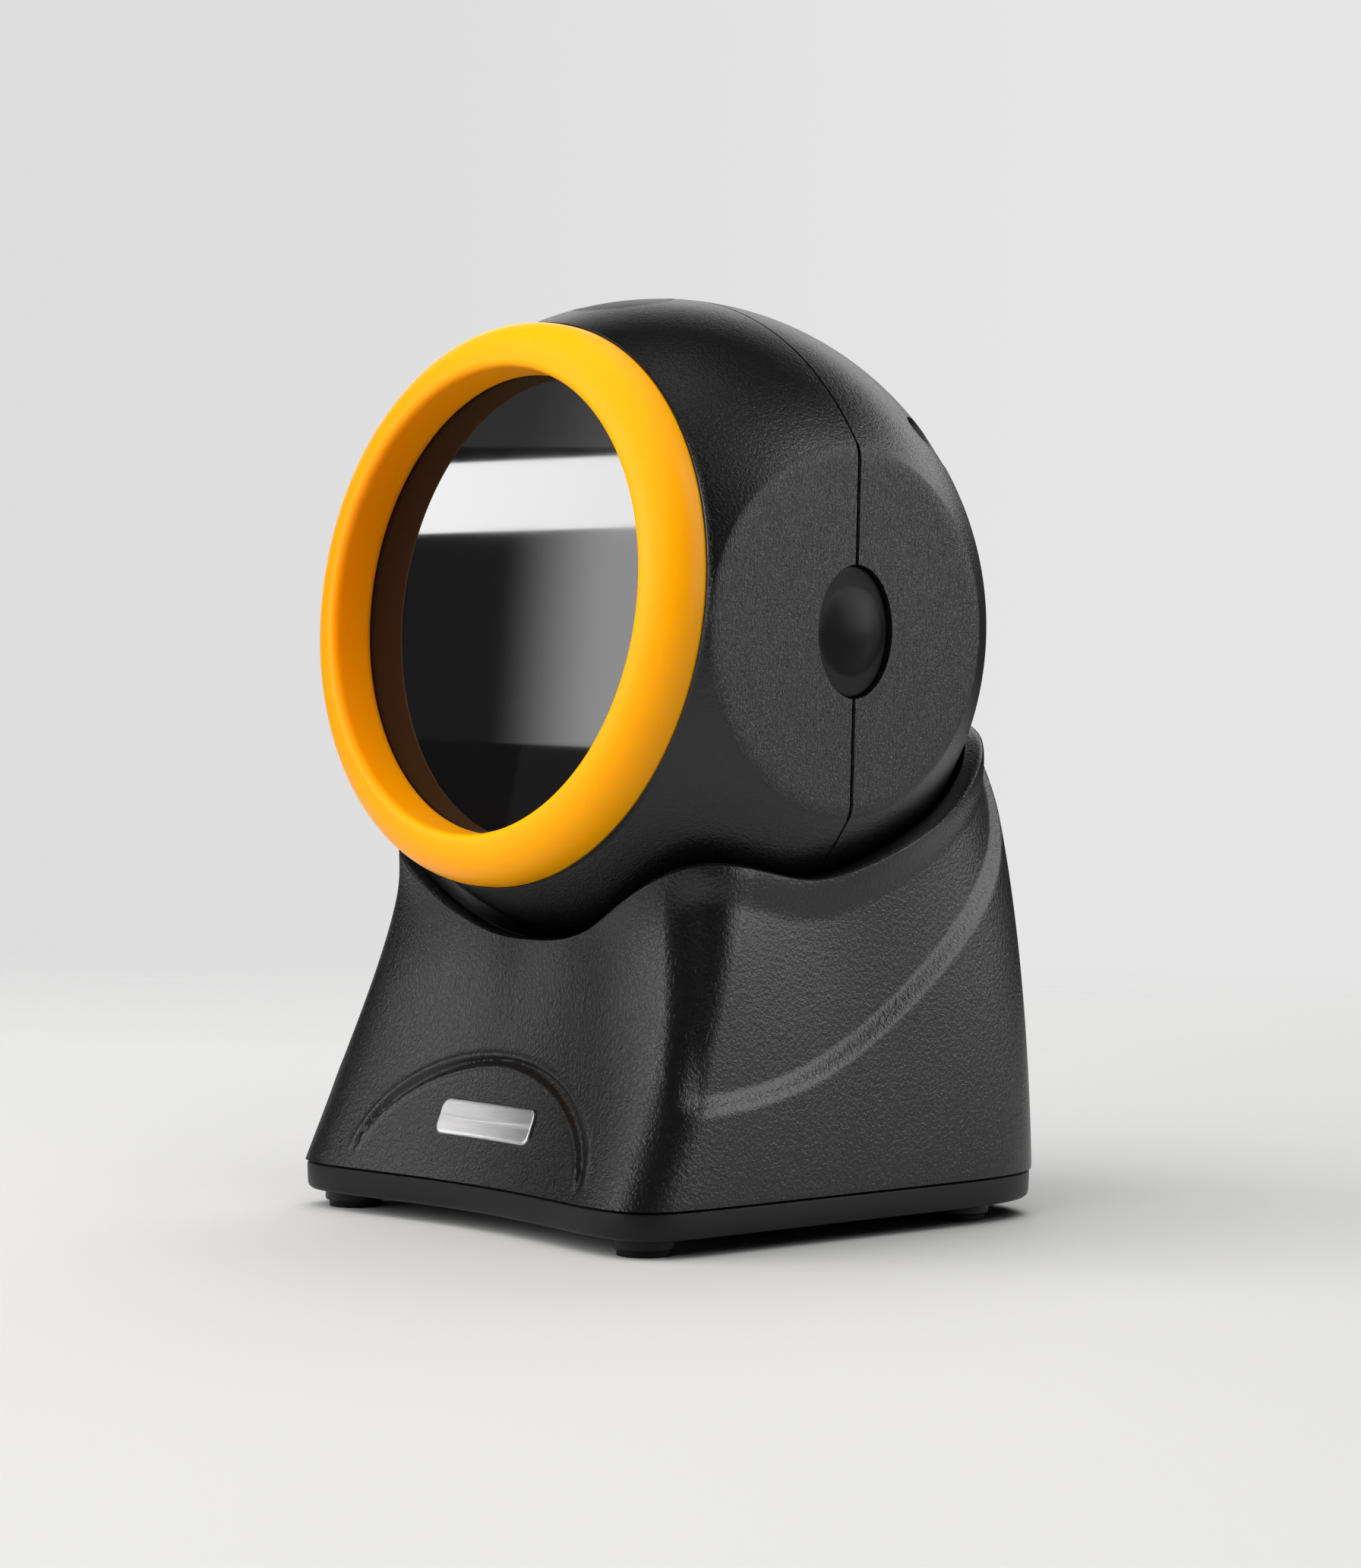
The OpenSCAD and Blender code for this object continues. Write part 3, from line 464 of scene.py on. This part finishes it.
def build_rear_shell(around=900 // COARSE, skin_rows=130 // COARSE):
    th = circle(around)
    direction = polar(np.array([0, 1.0, 0]), np.stack([cos(th), 0 * th, sin(th)], -1))
    rows = half_ball(direction, 1, 0, 0.03, skin_rows)
    n = len(rows)
    pts = np.concatenate(rows + [np.array([[0, BALL_R, 0], [0, INNER_R, 0]])])
    faces = lattice(n, around) + fan(n * around, 0, around) + fan(n * around + 1, n - 1, around)
    obj = to_mesh("rear_shell_skin", moved(pts, IN_HEAD), faces)
    cutters = shared_cutters()
    cutters += [drill(3.9, 14, 60, 96, IN_HEAD @ shift(x, 0, z) @ rot_x(-90)) for x, z in HEAD_SCREWS]
    sound_holes = [(0, 0)] + [(ring * 3.2, k * 60 / ring) for ring in (1, 2) for k in range(1, 6 * ring + 1)]
    for r, deg in sound_holes:
        x, y = r * math.cos(math.radians(deg)), r * math.sin(math.radians(deg))
        cutters.append(drill(0.9, 44, 60, 32, AT_SOUND_HOLES @ shift(x, y, 0)))
    return carve(obj, cutters)


def build_screw_wells(around=72):
    """Tubes round the head screws, whose outer ends lie inside the shell's wall."""
    a = circle(around)
    rows, faces = [], []
    for x, z in HEAD_SCREWS:
        def at(r, y=None):
            px, pz = x + r * cos(a), z + r * sin(a)
            py = np.sqrt(50.9**2 - px**2 - pz**2) if y is None else 0 * a + y
            return np.stack([px, py, pz], -1)
        well = [at(1.8, 12.8), at(4.9, 12.8), at(4.9), at(3.88), at(3.88, 15), at(1.8, 15)]
        faces += lattice(len(well), around, close_rows=True, start=len(rows) * around)
        rows += well
    return to_mesh("rear_shell_screw_wells", moved(np.concatenate(rows), IN_HEAD), faces)


def build_bezel():
    shoulder = SEAT_D + 1.5
    foot, sill, throat = SEAT_D + 0.05, WINDOW_D + 0.05, OPENING_R + 1.7
    profile = [(throat, foot), (RING_R - 0.15, foot), (RING_R, SEAT_D + 0.2)]
    profile += [(RING_R, mix(SEAT_D + 0.2, shoulder - 0.4, t)) for t in fractions(1, 3, 3)]
    for t in fractions(0, 30, 30):
        a = t * math.radians(90)
        profile.append((CREST_R + (RING_R - CREST_R) * math.cos(a),
                        shoulder + (CREST_D - shoulder) * math.sin(a)))
    profile += [(CREST_R - 0.35, CREST_D - 0.05), (CREST_R - 0.7, CREST_D - 0.2),
                (CREST_R - 0.98, CREST_D - 0.5), (OPENING_R + 0.42, CREST_D - 1.0)]
    profile += [(mix(OPENING_R + 0.40, OPENING_R, t), mix(CREST_D - 1.4, WINDOW_D + 0.35, t))
                for t in fractions(0, 8, 8)]
    profile += [(OPENING_R + 0.1, WINDOW_D + 0.12), (OPENING_R + 0.3, sill), (throat, sill)]
    return lathe("bezel_ring_smooth", profile, 384, place=ALONG_BEZEL, sharp_deg=50)


def build_plug(side):
    """Oval rubber plug with a soft dome in the middle."""
    a = circle(PLUG_AROUND)
    face_x, foot_x, dome_r, dome_h = SIDE_FLAT - 0.9, SIDE_FLAT - 2.8, 6.9, 1.75

    def ring(f, x, grow=0.0):
        y = (7.7 * f + grow) * sin(a)
        z = (10.15 * f + grow) * cos(a)
        dome = dome_h * np.maximum(1 - (np.hypot(y, z) / dome_r) ** 2, 0) ** 1.5
        return np.stack([side * (x + dome), SEAM_BACK + y, z], -1)
    rows = [ring(1, foot_x), ring(1, face_x - 0.35), ring(1, face_x - 0.18, -0.04),
            ring(1, face_x - 0.05, -0.16), ring(1, face_x, -0.4)]
    rows += [ring(0.955 * (1 - t), face_x) for t in fractions(1, 39, 40)]
    n = len(rows)
    middles = np.array([[side * (face_x + dome_h), SEAM_BACK, 0], [side * foot_x, SEAM_BACK, 0]])
    faces = lattice(n, PLUG_AROUND) + fan(n * PLUG_AROUND, n - 1, PLUG_AROUND)
    faces += fan(n * PLUG_AROUND + 1, 0, PLUG_AROUND)
    name = "side_plug_%s_dome" % ("right" if side > 0 else "left")
    return to_mesh(name, moved(np.concatenate(rows + [middles]), IN_HEAD), faces, 60)


def rounded_outline(half_w, half_h, corner, spacing):
    """A rounded rectangle, with extra points along its sides so that a plate can bend."""
    outline = []
    for cx, cy, start in ((1, 1, 0), (-1, 1, 90), (-1, -1, 180), (1, -1, 270)):
        for k in range(9):
            t = math.radians(start + k * 90 / 8)
            outline.append((cx * (half_w - corner) + corner * math.cos(t),
                            cy * (half_h - corner) + corner * math.sin(t)))
    dense = []
    for p, q in zip(outline, outline[1:] + outline[:1]):
        n = max(1, int(math.hypot(q[0] - p[0], q[1] - p[1]) / spacing))
        dense += [(mix(p[0], q[0], j / n), mix(p[1], q[1], j / n)) for j in range(n)]
    return np.array(dense)


def build_badge():
    """Blank metal badge that follows the hollow of the front face."""
    half_w, half_h, edge = 11.3, 2.95, 0.35
    outline = rounded_outline(half_w, half_h, 1.5, 0.8)
    lean = math.atan((FOOT_FRONT - TOP_FRONT) / (UPPER_Z - SEAM_Z))

    def face(scale_x, scale_z, proud):
        x, z = outline[:, 0] * scale_x, BADGE_Z + outline[:, 1] * scale_z * math.cos(lean)
        a = np.degrees(np.arctan2(x, 36))
        for _ in range(6):
            a = np.degrees(np.arcsin(np.clip(x / section_r(a, z), -1, 1)))
        y = AXIS_Y - section_r(a, z) * cos(np.radians(a))
        return np.stack([x, y - proud * math.cos(lean), z + proud * math.sin(lean)], -1)
    rows = [face((half_w - inset) / half_w, (half_h - inset) / half_h, proud)
            for inset, proud in ((0, -0.3), (0, 0.3), (0.05, 0.42), (0.18, 0.5), (edge, 0.52))]
    rows += [face((half_w - edge) / half_w, (half_h - edge) / half_h * (1 - t), 0.52)
             for t in fractions(1, 7, 8)]
    n, m = len(rows), len(outline)
    faces = lattice(n, m) + [row_face(0, m)[::-1], row_face(n - 1, m)]
    return to_mesh("name_badge_plate", np.concatenate(rows), faces, 50)


# ------------------------------------------------------------------ materials
def shader(name, color, rough, more=None):
    """A principled material; more sets other sockets by name. Returns it with its object coordinates."""
    mat = bpy.data.materials.new(name)
    mat.use_nodes = True
    nt = mat.node_tree
    p = nt.nodes["Principled BSDF"]
    for key, value in {"Base Color": (*color, 1), "Roughness": rough, **(more or {})}.items():
        p.inputs[key].default_value = value
    return mat, nt, p, nt.nodes.new("ShaderNodeTexCoord").outputs["Object"]


def noise(nt, vec, scale, detail=3, rough=0.55, distortion=0.0, stretch=None):
    if stretch is not None:
        m = nt.nodes.new("ShaderNodeMapping")
        m.inputs["Scale"].default_value = stretch
        nt.links.new(vec, m.inputs["Vector"])
        vec = m.outputs["Vector"]
    n = nt.nodes.new("ShaderNodeTexNoise")
    n.inputs["Scale"].default_value, n.inputs["Detail"].default_value = scale, detail
    n.inputs["Roughness"].default_value, n.inputs["Distortion"].default_value = rough, distortion
    nt.links.new(vec, n.inputs["Vector"])
    return n.outputs["Fac"]


def remap(nt, value, lo, hi, a=0.3, b=0.7, curve="LINEAR"):
    """Runs from lo to hi while value runs from a to b."""
    m = nt.nodes.new("ShaderNodeMapRange")
    m.interpolation_type = curve
    m.inputs["From Min"].default_value, m.inputs["From Max"].default_value = a, b
    m.inputs["To Min"].default_value, m.inputs["To Max"].default_value = lo, hi
    nt.links.new(value, m.inputs["Value"])
    return m.outputs["Result"]


def along(nt, vec, axis):
    xyz = nt.nodes.new("ShaderNodeSeparateXYZ")
    nt.links.new(vec, xyz.inputs[0])
    return xyz.outputs[axis]


def blend_color(nt, fac, c1, c2):
    m = nt.nodes.new("ShaderNodeMix")
    m.data_type = "RGBA"
    m.inputs["A"].default_value, m.inputs["B"].default_value = (*c1, 1), (*c2, 1)
    nt.links.new(fac, m.inputs["Factor"])
    return m.outputs["Result"]


def vary_color(nt, p, value, color, darkest, lightest):
    """Lets the base colour follow a noise, between two shares of one colour."""
    c1, c2 = [[min(c * share, 1) for c in color] for share in (darkest, lightest)]
    nt.links.new(blend_color(nt, remap(nt, value, 0, 1), c1, c2), p.inputs["Base Color"])


def vary_gloss(nt, p, value, lo, hi):
    nt.links.new(remap(nt, value, lo, hi), p.inputs["Roughness"])


def bump(nt, p, height, distance):
    b = nt.nodes.new("ShaderNodeBump")
    b.inputs["Strength"].default_value = 1.0
    b.inputs["Distance"].default_value = distance
    nt.links.new(height, b.inputs["Height"])
    nt.links.new(b.outputs["Normal"], p.inputs["Normal"])


def math_node(nt, op, *values):
    m = nt.nodes.new("ShaderNodeMath")
    m.operation = op
    for i, v in enumerate(values):
        if isinstance(v, (int, float)):
            m.inputs[i].default_value = v
        else:
            nt.links.new(v, m.inputs[i])
    return m.outputs[0]


def moulded(name, color, rough, grain, depth, spread=0.06, more=None):
    """Moulded plastic, rubber or iron: fine grain, slight change of gloss and tone."""
    mat, nt, p, vec = shader(name, color, rough, more)
    fine = noise(nt, vec, grain, 2, 0.6, 0.4)
    vary_gloss(nt, p, noise(nt, vec, 60), rough - spread, rough + spread)
    vary_color(nt, p, fine, color, 0.8, 1.25)
    bump(nt, p, fine, depth)
    return mat


def shell_black(name, grain, relief, discs=False):
    """Black ABS with a moulded grain; on the head, the flat discs carry a coarser wrinkled grain."""
    mat, nt, p, vec = shader(name, BLACK, 0.34)
    height = noise(nt, vec, grain, 2, 0.6, 0.6)
    if discs:
        wrinkle = noise(nt, vec, 1500, 2, 0.6, 1.6, stretch=(1.0, 1.5, 0.8))
        from_middle = math_node(nt, "ABSOLUTE", along(nt, vec, "X"))
        on_disc = remap(nt, from_middle, 0, 1, (SIDE_FLAT - 0.65) * MM, (SIDE_FLAT - 0.35) * MM)
        both = nt.nodes.new("ShaderNodeMix")
        nt.links.new(on_disc, both.inputs["Factor"])
        nt.links.new(height, both.inputs["A"])
        nt.links.new(math_node(nt, "MULTIPLY", wrinkle, 2.4), both.inputs["B"])
        height = both.outputs["Result"]
        nt.links.new(remap(nt, on_disc, 0.31, 0.40, 0, 1), p.inputs["Roughness"])
    else:
        vary_gloss(nt, p, noise(nt, vec, 60), 0.29, 0.34)
    bump(nt, p, height, relief)
    vary_color(nt, p, noise(nt, vec, 900, 2), BLACK, 0.85, 1.2)
    return mat


def amber():
    """Amber plastic that lets a little light through; its base colour carries painted shade, a deeper, redder
    orange towards the object's left side.
    """
    mat, nt, p, vec = shader("amber_plastic", (1.0, 0.38, 0.0), 0.36,
                             {"Specular IOR Level": 0.12, "Subsurface Weight": 0.25,
                              "Subsurface Radius": (0.004, 0.0012, 0.0001), "Subsurface Scale": 1.0})
    fine = noise(nt, vec, 1500, 2)
    vary_gloss(nt, p, noise(nt, vec, 45, 2), 0.32, 0.40)
    # painted shade: the base colour runs from a redder orange on the object's left to plain amber on its
    # right; the fine noise added on top is grain
    across = remap(nt, along(nt, vec, "X"), 0, 0.9, -0.044, 0.005)
    painted_shade_and_grain = math_node(nt, "ADD", across, math_node(nt, "MULTIPLY", fine, 0.1))
    nt.links.new(blend_color(nt, painted_shade_and_grain, (1.0, 0.285, 0.0), (1.0, 0.39, 0.0)), p.inputs["Base Color"])
    bump(nt, p, fine, 0.000008)
    return mat


def dark_glass():
    mat, nt, p, vec = shader("dark_glass", (0.004, 0.004, 0.0042), 0.03, {"IOR": 1.38})
    vary_gloss(nt, p, noise(nt, vec, 35, 2), 0.015, 0.03)
    return mat


def brushed(name, color, rough, direction, depth=0.000004):
    """Metal with fine lines along the axis whose number in direction is smallest."""
    mat, nt, p, vec = shader(name, color, rough, {"Metallic": 1.0})
    lines = noise(nt, vec, 60, 2, 0.5, stretch=direction)
    vary_gloss(nt, p, lines, rough - 0.02, rough + 0.02)
    vary_color(nt, p, lines, color, 0.92, 1.03)
    bump(nt, p, lines, depth)
    return mat


def clear(name, color, rough, ior=1.49):
    mat, nt, p, vec = shader(name, color, rough, {"Transmission Weight": 0.85, "IOR": ior})
    vary_gloss(nt, p, noise(nt, vec, 500, 2), max(rough - 0.05, 0), rough + 0.05)
    return mat


def board():
    """Circuit board with darker and lighter cells under its lacquer."""
    mat, nt, p, vec = shader("circuit_board", (0.02, 0.13, 0.06), 0.35)
    cells = nt.nodes.new("ShaderNodeTexVoronoi")
    cells.inputs["Scale"].default_value = 450
    cells.distance = "CHEBYCHEV"
    nt.links.new(vec, cells.inputs["Vector"])
    distance = cells.outputs["Distance"]
    tone = remap(nt, distance, 0, 1, 0.25, 0.35)
    nt.links.new(blend_color(nt, tone, (0.03, 0.20, 0.09), (0.015, 0.10, 0.05)), p.inputs["Base Color"])
    bump(nt, p, distance, 0.00003)
    return mat


BLACK = (0.0038, 0.0037, 0.0038)
looks = {
    "black_shell": shell_black("black_abs", 2100, 0.00011, discs=True),
    "black_shell_base": shell_black("black_abs_base", 1700, 0.00013),
    "base_tray": moulded("base_tray_plastic", BLACK, 0.42, 3000, 0.00002, more={"Specular IOR Level": 0.28}),
    "rubber": moulded("soft_rubber", (0.0035, 0.0035, 0.0035), 0.42, 3500, 0.00001, 0.05,
                      {"Specular IOR Level": 0.13}),
    "amber_plastic": amber(),
    "dark_glass": dark_glass(),
    "clear_plastic": clear("frosted_clear", (0.80, 0.82, 0.84), 0.35),
    "lens_glass": clear("lens_glass", (0.60, 0.66, 0.80), 0.06, 1.6),
    "badge_metal": brushed("badge_metal", (0.62, 0.61, 0.62), 0.30, (3, 60, 60), 0.0000002),
    "steel": brushed("zinc_steel", (0.62, 0.63, 0.65), 0.32, (300, 40, 300)),
    "ballast_iron": moulded("cast_iron", (0.10, 0.10, 0.105), 0.62, 900, 0.00015, more={"Metallic": 0.6}),
    "brass": brushed("turned_brass", (0.72, 0.52, 0.20), 0.28, (300, 30, 300)),
    "friction_fibre": moulded("friction_fibre", (0.16, 0.14, 0.11), 0.8, 1500, 0.0001),
    "circuit_board": board(),
    "white_plastic": moulded("white_plastic", (0.72, 0.72, 0.68), 0.42, 2200, 0.00001),
    "black_component": moulded("component_black", (0.02, 0.02, 0.022), 0.5, 2600, 0.00003),
}

for part in frame["record"]["subparts"]:
    for slot in nodes[part["node"]].material_slots:
        slot.link = "OBJECT"
        slot.material = looks[part["material_slot"]]


def piece(obj, slot_name, body, *replaced, look=None):
    """Gives a piece its material and its body, and hides the CAD nodes that it stands for."""
    obj.data.materials.clear()
    obj.data.materials.append(looks[look or slot_name])
    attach(obj, body)
    if replaced:
        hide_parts(*replaced)


piece(build_base_shell(), "black_shell", "base", "base_shell", look="black_shell_base")
piece(build_base_plate(), "base_tray", "base", "base_plate")
piece(build_badge(), "badge_metal", "base", "name_badge")
piece(build_front_shell(), "black_shell", "head", "front_shell")
piece(build_rear_shell(), "black_shell", "head", "rear_shell")
piece(build_screw_wells(), "black_shell", "head")
piece(build_bezel(), "amber_plastic", "head", "bezel_ring")
piece(build_plug(1), "rubber", "head", "side_plug_right")
piece(build_plug(-1), "rubber", "head", "side_plug_left")

# ------------------------------------------------------------------ camera
AZ, EL, ROLL = math.radians(48.35), math.radians(2.64), math.radians(0.57)
LENS_MM, SENSOR_MM = 111.04, 36
EYE = Vector((0.57774, -0.50895 + AXIS_Y * MM, 0.01051 + BALL_Z * MM))      # from the ball's centre

back = Vector((math.sin(AZ) * math.cos(EL), -math.cos(AZ) * math.cos(EL), math.sin(EL)))
right = Vector((math.cos(AZ), math.sin(AZ), 0))
up = back.cross(right)
view_right = right * math.cos(ROLL) + up * math.sin(ROLL)
view_up = up * math.cos(ROLL) - right * math.sin(ROLL)
cam_data = bpy.data.cameras.new("camera")
cam_data.sensor_width, cam_data.lens = SENSOR_MM, LENS_MM
cam_data.clip_start, cam_data.clip_end = 0.01, 50
cam = bpy.data.objects.new("camera", cam_data)
scene.collection.objects.link(cam)
cam.matrix_world = Matrix.Translation(EYE) @ Matrix([view_right, view_up, back]).transposed().to_4x4()
scene.camera = cam


# ------------------------------------------------------------------ floor, backdrop and world
def quad(name, corners):
    """A flat four-cornered panel, from points in metres."""
    me = bpy.data.meshes.new(name)
    me.from_pydata(corners, [], [(0, 1, 2, 3)])
    obj = bpy.data.objects.new(name, me)
    scene.collection.objects.link(obj)
    return obj


def glow(obj, strength, fade=None):
    """Plain light from a panel; fade = (axis, from, to, strength there) makes it change along an axis."""
    mat = bpy.data.materials.new(obj.name + "_light")
    mat.use_nodes = True
    nt = mat.node_tree
    nt.nodes.clear()
    out = nt.nodes.new("ShaderNodeOutputMaterial")
    em = nt.nodes.new("ShaderNodeEmission")
    em.inputs["Strength"].default_value = strength
    nt.links.new(em.outputs[0], out.inputs["Surface"])
    if fade is not None:
        axis, lo, hi, other = fade
        place = along(nt, nt.nodes.new("ShaderNodeTexCoord").outputs["Object"], axis)
        nt.links.new(remap(nt, place, strength, other, lo, hi, "SMOOTHSTEP"), em.inputs["Strength"])
    obj.data.materials.append(mat)
    obj.visible_camera = False
    obj.visible_shadow = False


# the floor is a table square to the view, whose far edge melts into the backdrop
FLOOR_COLOR = (0.532, 0.529, 0.524)
TABLE_BACK, TABLE_REACH, TABLE_FADE = 0.50, 2.0, 0.25
away = Vector((-back.x, -back.y, 0)).normalized()
across = Vector((right.x, right.y, 0)).normalized()
table = [(-TABLE_REACH, -TABLE_REACH), (-TABLE_REACH, TABLE_REACH), (TABLE_BACK, TABLE_REACH),
         (TABLE_BACK, -TABLE_REACH)]
floor = quad("floor", [tuple(away * f + across * g) for f, g in table])
mat, nt, p, vec = shader("pale_floor", FLOOR_COLOR, 0.5, {"Specular IOR Level": 0.0})
vary_color(nt, p, noise(nt, vec, 4, 2), FLOOR_COLOR, 0.995, 1)
depth = nt.nodes.new("ShaderNodeVectorMath")
depth.operation = "DOT_PRODUCT"
depth.inputs[1].default_value = away
nt.links.new(vec, depth.inputs[0])
fade = remap(nt, depth.outputs["Value"], 1, 0, TABLE_BACK - TABLE_FADE, TABLE_BACK - 0.005)
nt.links.new(fade, p.inputs["Alpha"])
floor.data.materials.append(mat)

# the backdrop is a wide plain shell that only the camera sees, a little lighter on the right
BACKDROP_R = 6000
backdrop = lathe("backdrop", [(BACKDROP_R * math.cos(math.radians(t)), BACKDROP_R * math.sin(math.radians(t)))
                              for t in range(-88, 89, 8)], 48, closed=False)
glow(backdrop, 0.725, ("X", -0.9, 0.9, 0.795))
backdrop.rotation_euler.z = AZ
backdrop.visible_camera = True
backdrop.visible_diffuse = backdrop.visible_glossy = backdrop.visible_transmission = False

scene.world = bpy.data.worlds.new("studio")
scene.world.use_nodes = True
ambient = scene.world.node_tree.nodes["Background"]
ambient.inputs["Color"].default_value = (1, 1, 1, 1)
ambient.inputs["Strength"].default_value = 0.02

# ------------------------------------------------------------------ lights
# name, azimuth, elevation, distance, width, height, radiance: these light matt surfaces only
MATT_PANELS = [
    ("front_matt", -14, 32, 1.5, 2.6, 1.6, 2.45),
    ("back_matt", -150, 55, 1.3, 0.7, 0.9, 3.0),
    ("left_matt", -75, 40, 1.8, 1.6, 1.6, 0.6),
    ("front_low", -30, 13, 1.5, 1.4, 0.6, 1.3),
    ("right_matt", 70, 45, 1.4, 0.9, 0.9, 1.5),
    ("top_matt", 0, 89, 2.0, 2.4, 2.4, 2.0),
]
# the same, for panels that show only as reflections
GLOSS_PANELS = [
    ("right_back", 140, 20, 0.55, 0.50, 0.38, 2.9),
    ("right_near", 108, 12, 0.55, 0.20, 0.18, 3.2),
    ("right_high", 127, 43, 1.2, 0.42, 0.36, 4.4),
    ("back_high", -172, 21, 1.2, 0.7, 0.30, 1.7),
    ("back_left", -136, 24, 1.2, 0.8, 0.34, 1.6),
    ("left_key", -48, 38, 1.2, 0.35, 0.34, 1.5),
    ("left_low", -25, 17, 1.2, 0.34, 0.60, 4.9),
    ("left_rim", -108, 14, 1.2, 0.42, 0.6, 1.0),
    ("top_soft", 0, 89, 1.2, 0.5, 0.5, 1.0),
    ("top_right", 100, 58, 1.2, 0.3, 0.35, 1.3),
]
PANEL_AIM = Vector((0, AXIS_Y * MM, 0.08))


def panel(name, azimuth, elevation, distance, w, h, radiance, matt):
    """An area light in a direction seen from the object; radiance is what a mirror would show."""
    a, e = math.radians(azimuth), math.radians(elevation)
    at = PANEL_AIM + distance * Vector((math.sin(a) * math.cos(e), -math.cos(a) * math.cos(e), math.sin(e)))
    data = bpy.data.lights.new(name, "AREA")
    data.shape = "RECTANGLE"
    data.size, data.size_y, data.energy = w, h, radiance * math.pi * w * h
    obj = bpy.data.objects.new(name, data)
    obj.location = at
    obj.rotation_mode = "QUATERNION"
    obj.rotation_quaternion = (PANEL_AIM - at).to_track_quat("-Z", "Y")
    obj.visible_camera = False
    obj.visible_diffuse, obj.visible_glossy = matt, not matt
    scene.collection.objects.link(obj)


for spec in MATT_PANELS:
    panel(*spec, matt=True)
for spec in GLOSS_PANELS:
    panel(*spec, matt=False)

# what the window mirrors, in metres: a bright bar with dim sheets under, beside and above it, each
# with its strength and how that changes from left to right
MIRRORED = {
    "mirror_bar": (20, None, [(-0.733, -0.579, 0.240), (-0.620, -0.621, 0.254),
                              (-0.623, -0.616, 0.278), (-0.730, -0.576, 0.264)]),
    "mirror_sheet": (0.13, ("X", -0.700, -0.655, 6.6), [(-0.733, -0.589, 0.170), (-0.630, -0.629, 0.178),
                                                        (-0.620, -0.621, 0.254), (-0.733, -0.579, 0.240)]),
    "mirror_side": (0.16, ("X", -0.775, -0.700, 1.9), [(-0.80, -0.70, 0.02), (-0.66, -0.755, 0.02),
                                                       (-0.66, -0.755, 0.48), (-0.80, -0.70, 0.48)]),
    "mirror_above": (0.55, ("X", -0.700, -0.650, 1.9), [(-0.76, -0.565, 0.268), (-0.60, -0.63, 0.282),
                                                        (-0.60, -0.63, 0.42), (-0.76, -0.565, 0.40)]),
}
for name, (strength, change, corners) in MIRRORED.items():
    sheet = quad(name, corners)
    glow(sheet, strength, change)
    sheet.visible_diffuse = False

scene.view_settings.view_transform = "Standard"
scene.view_settings.look = "None"
scene.view_settings.exposure = 0
scene.view_settings.gamma = 1
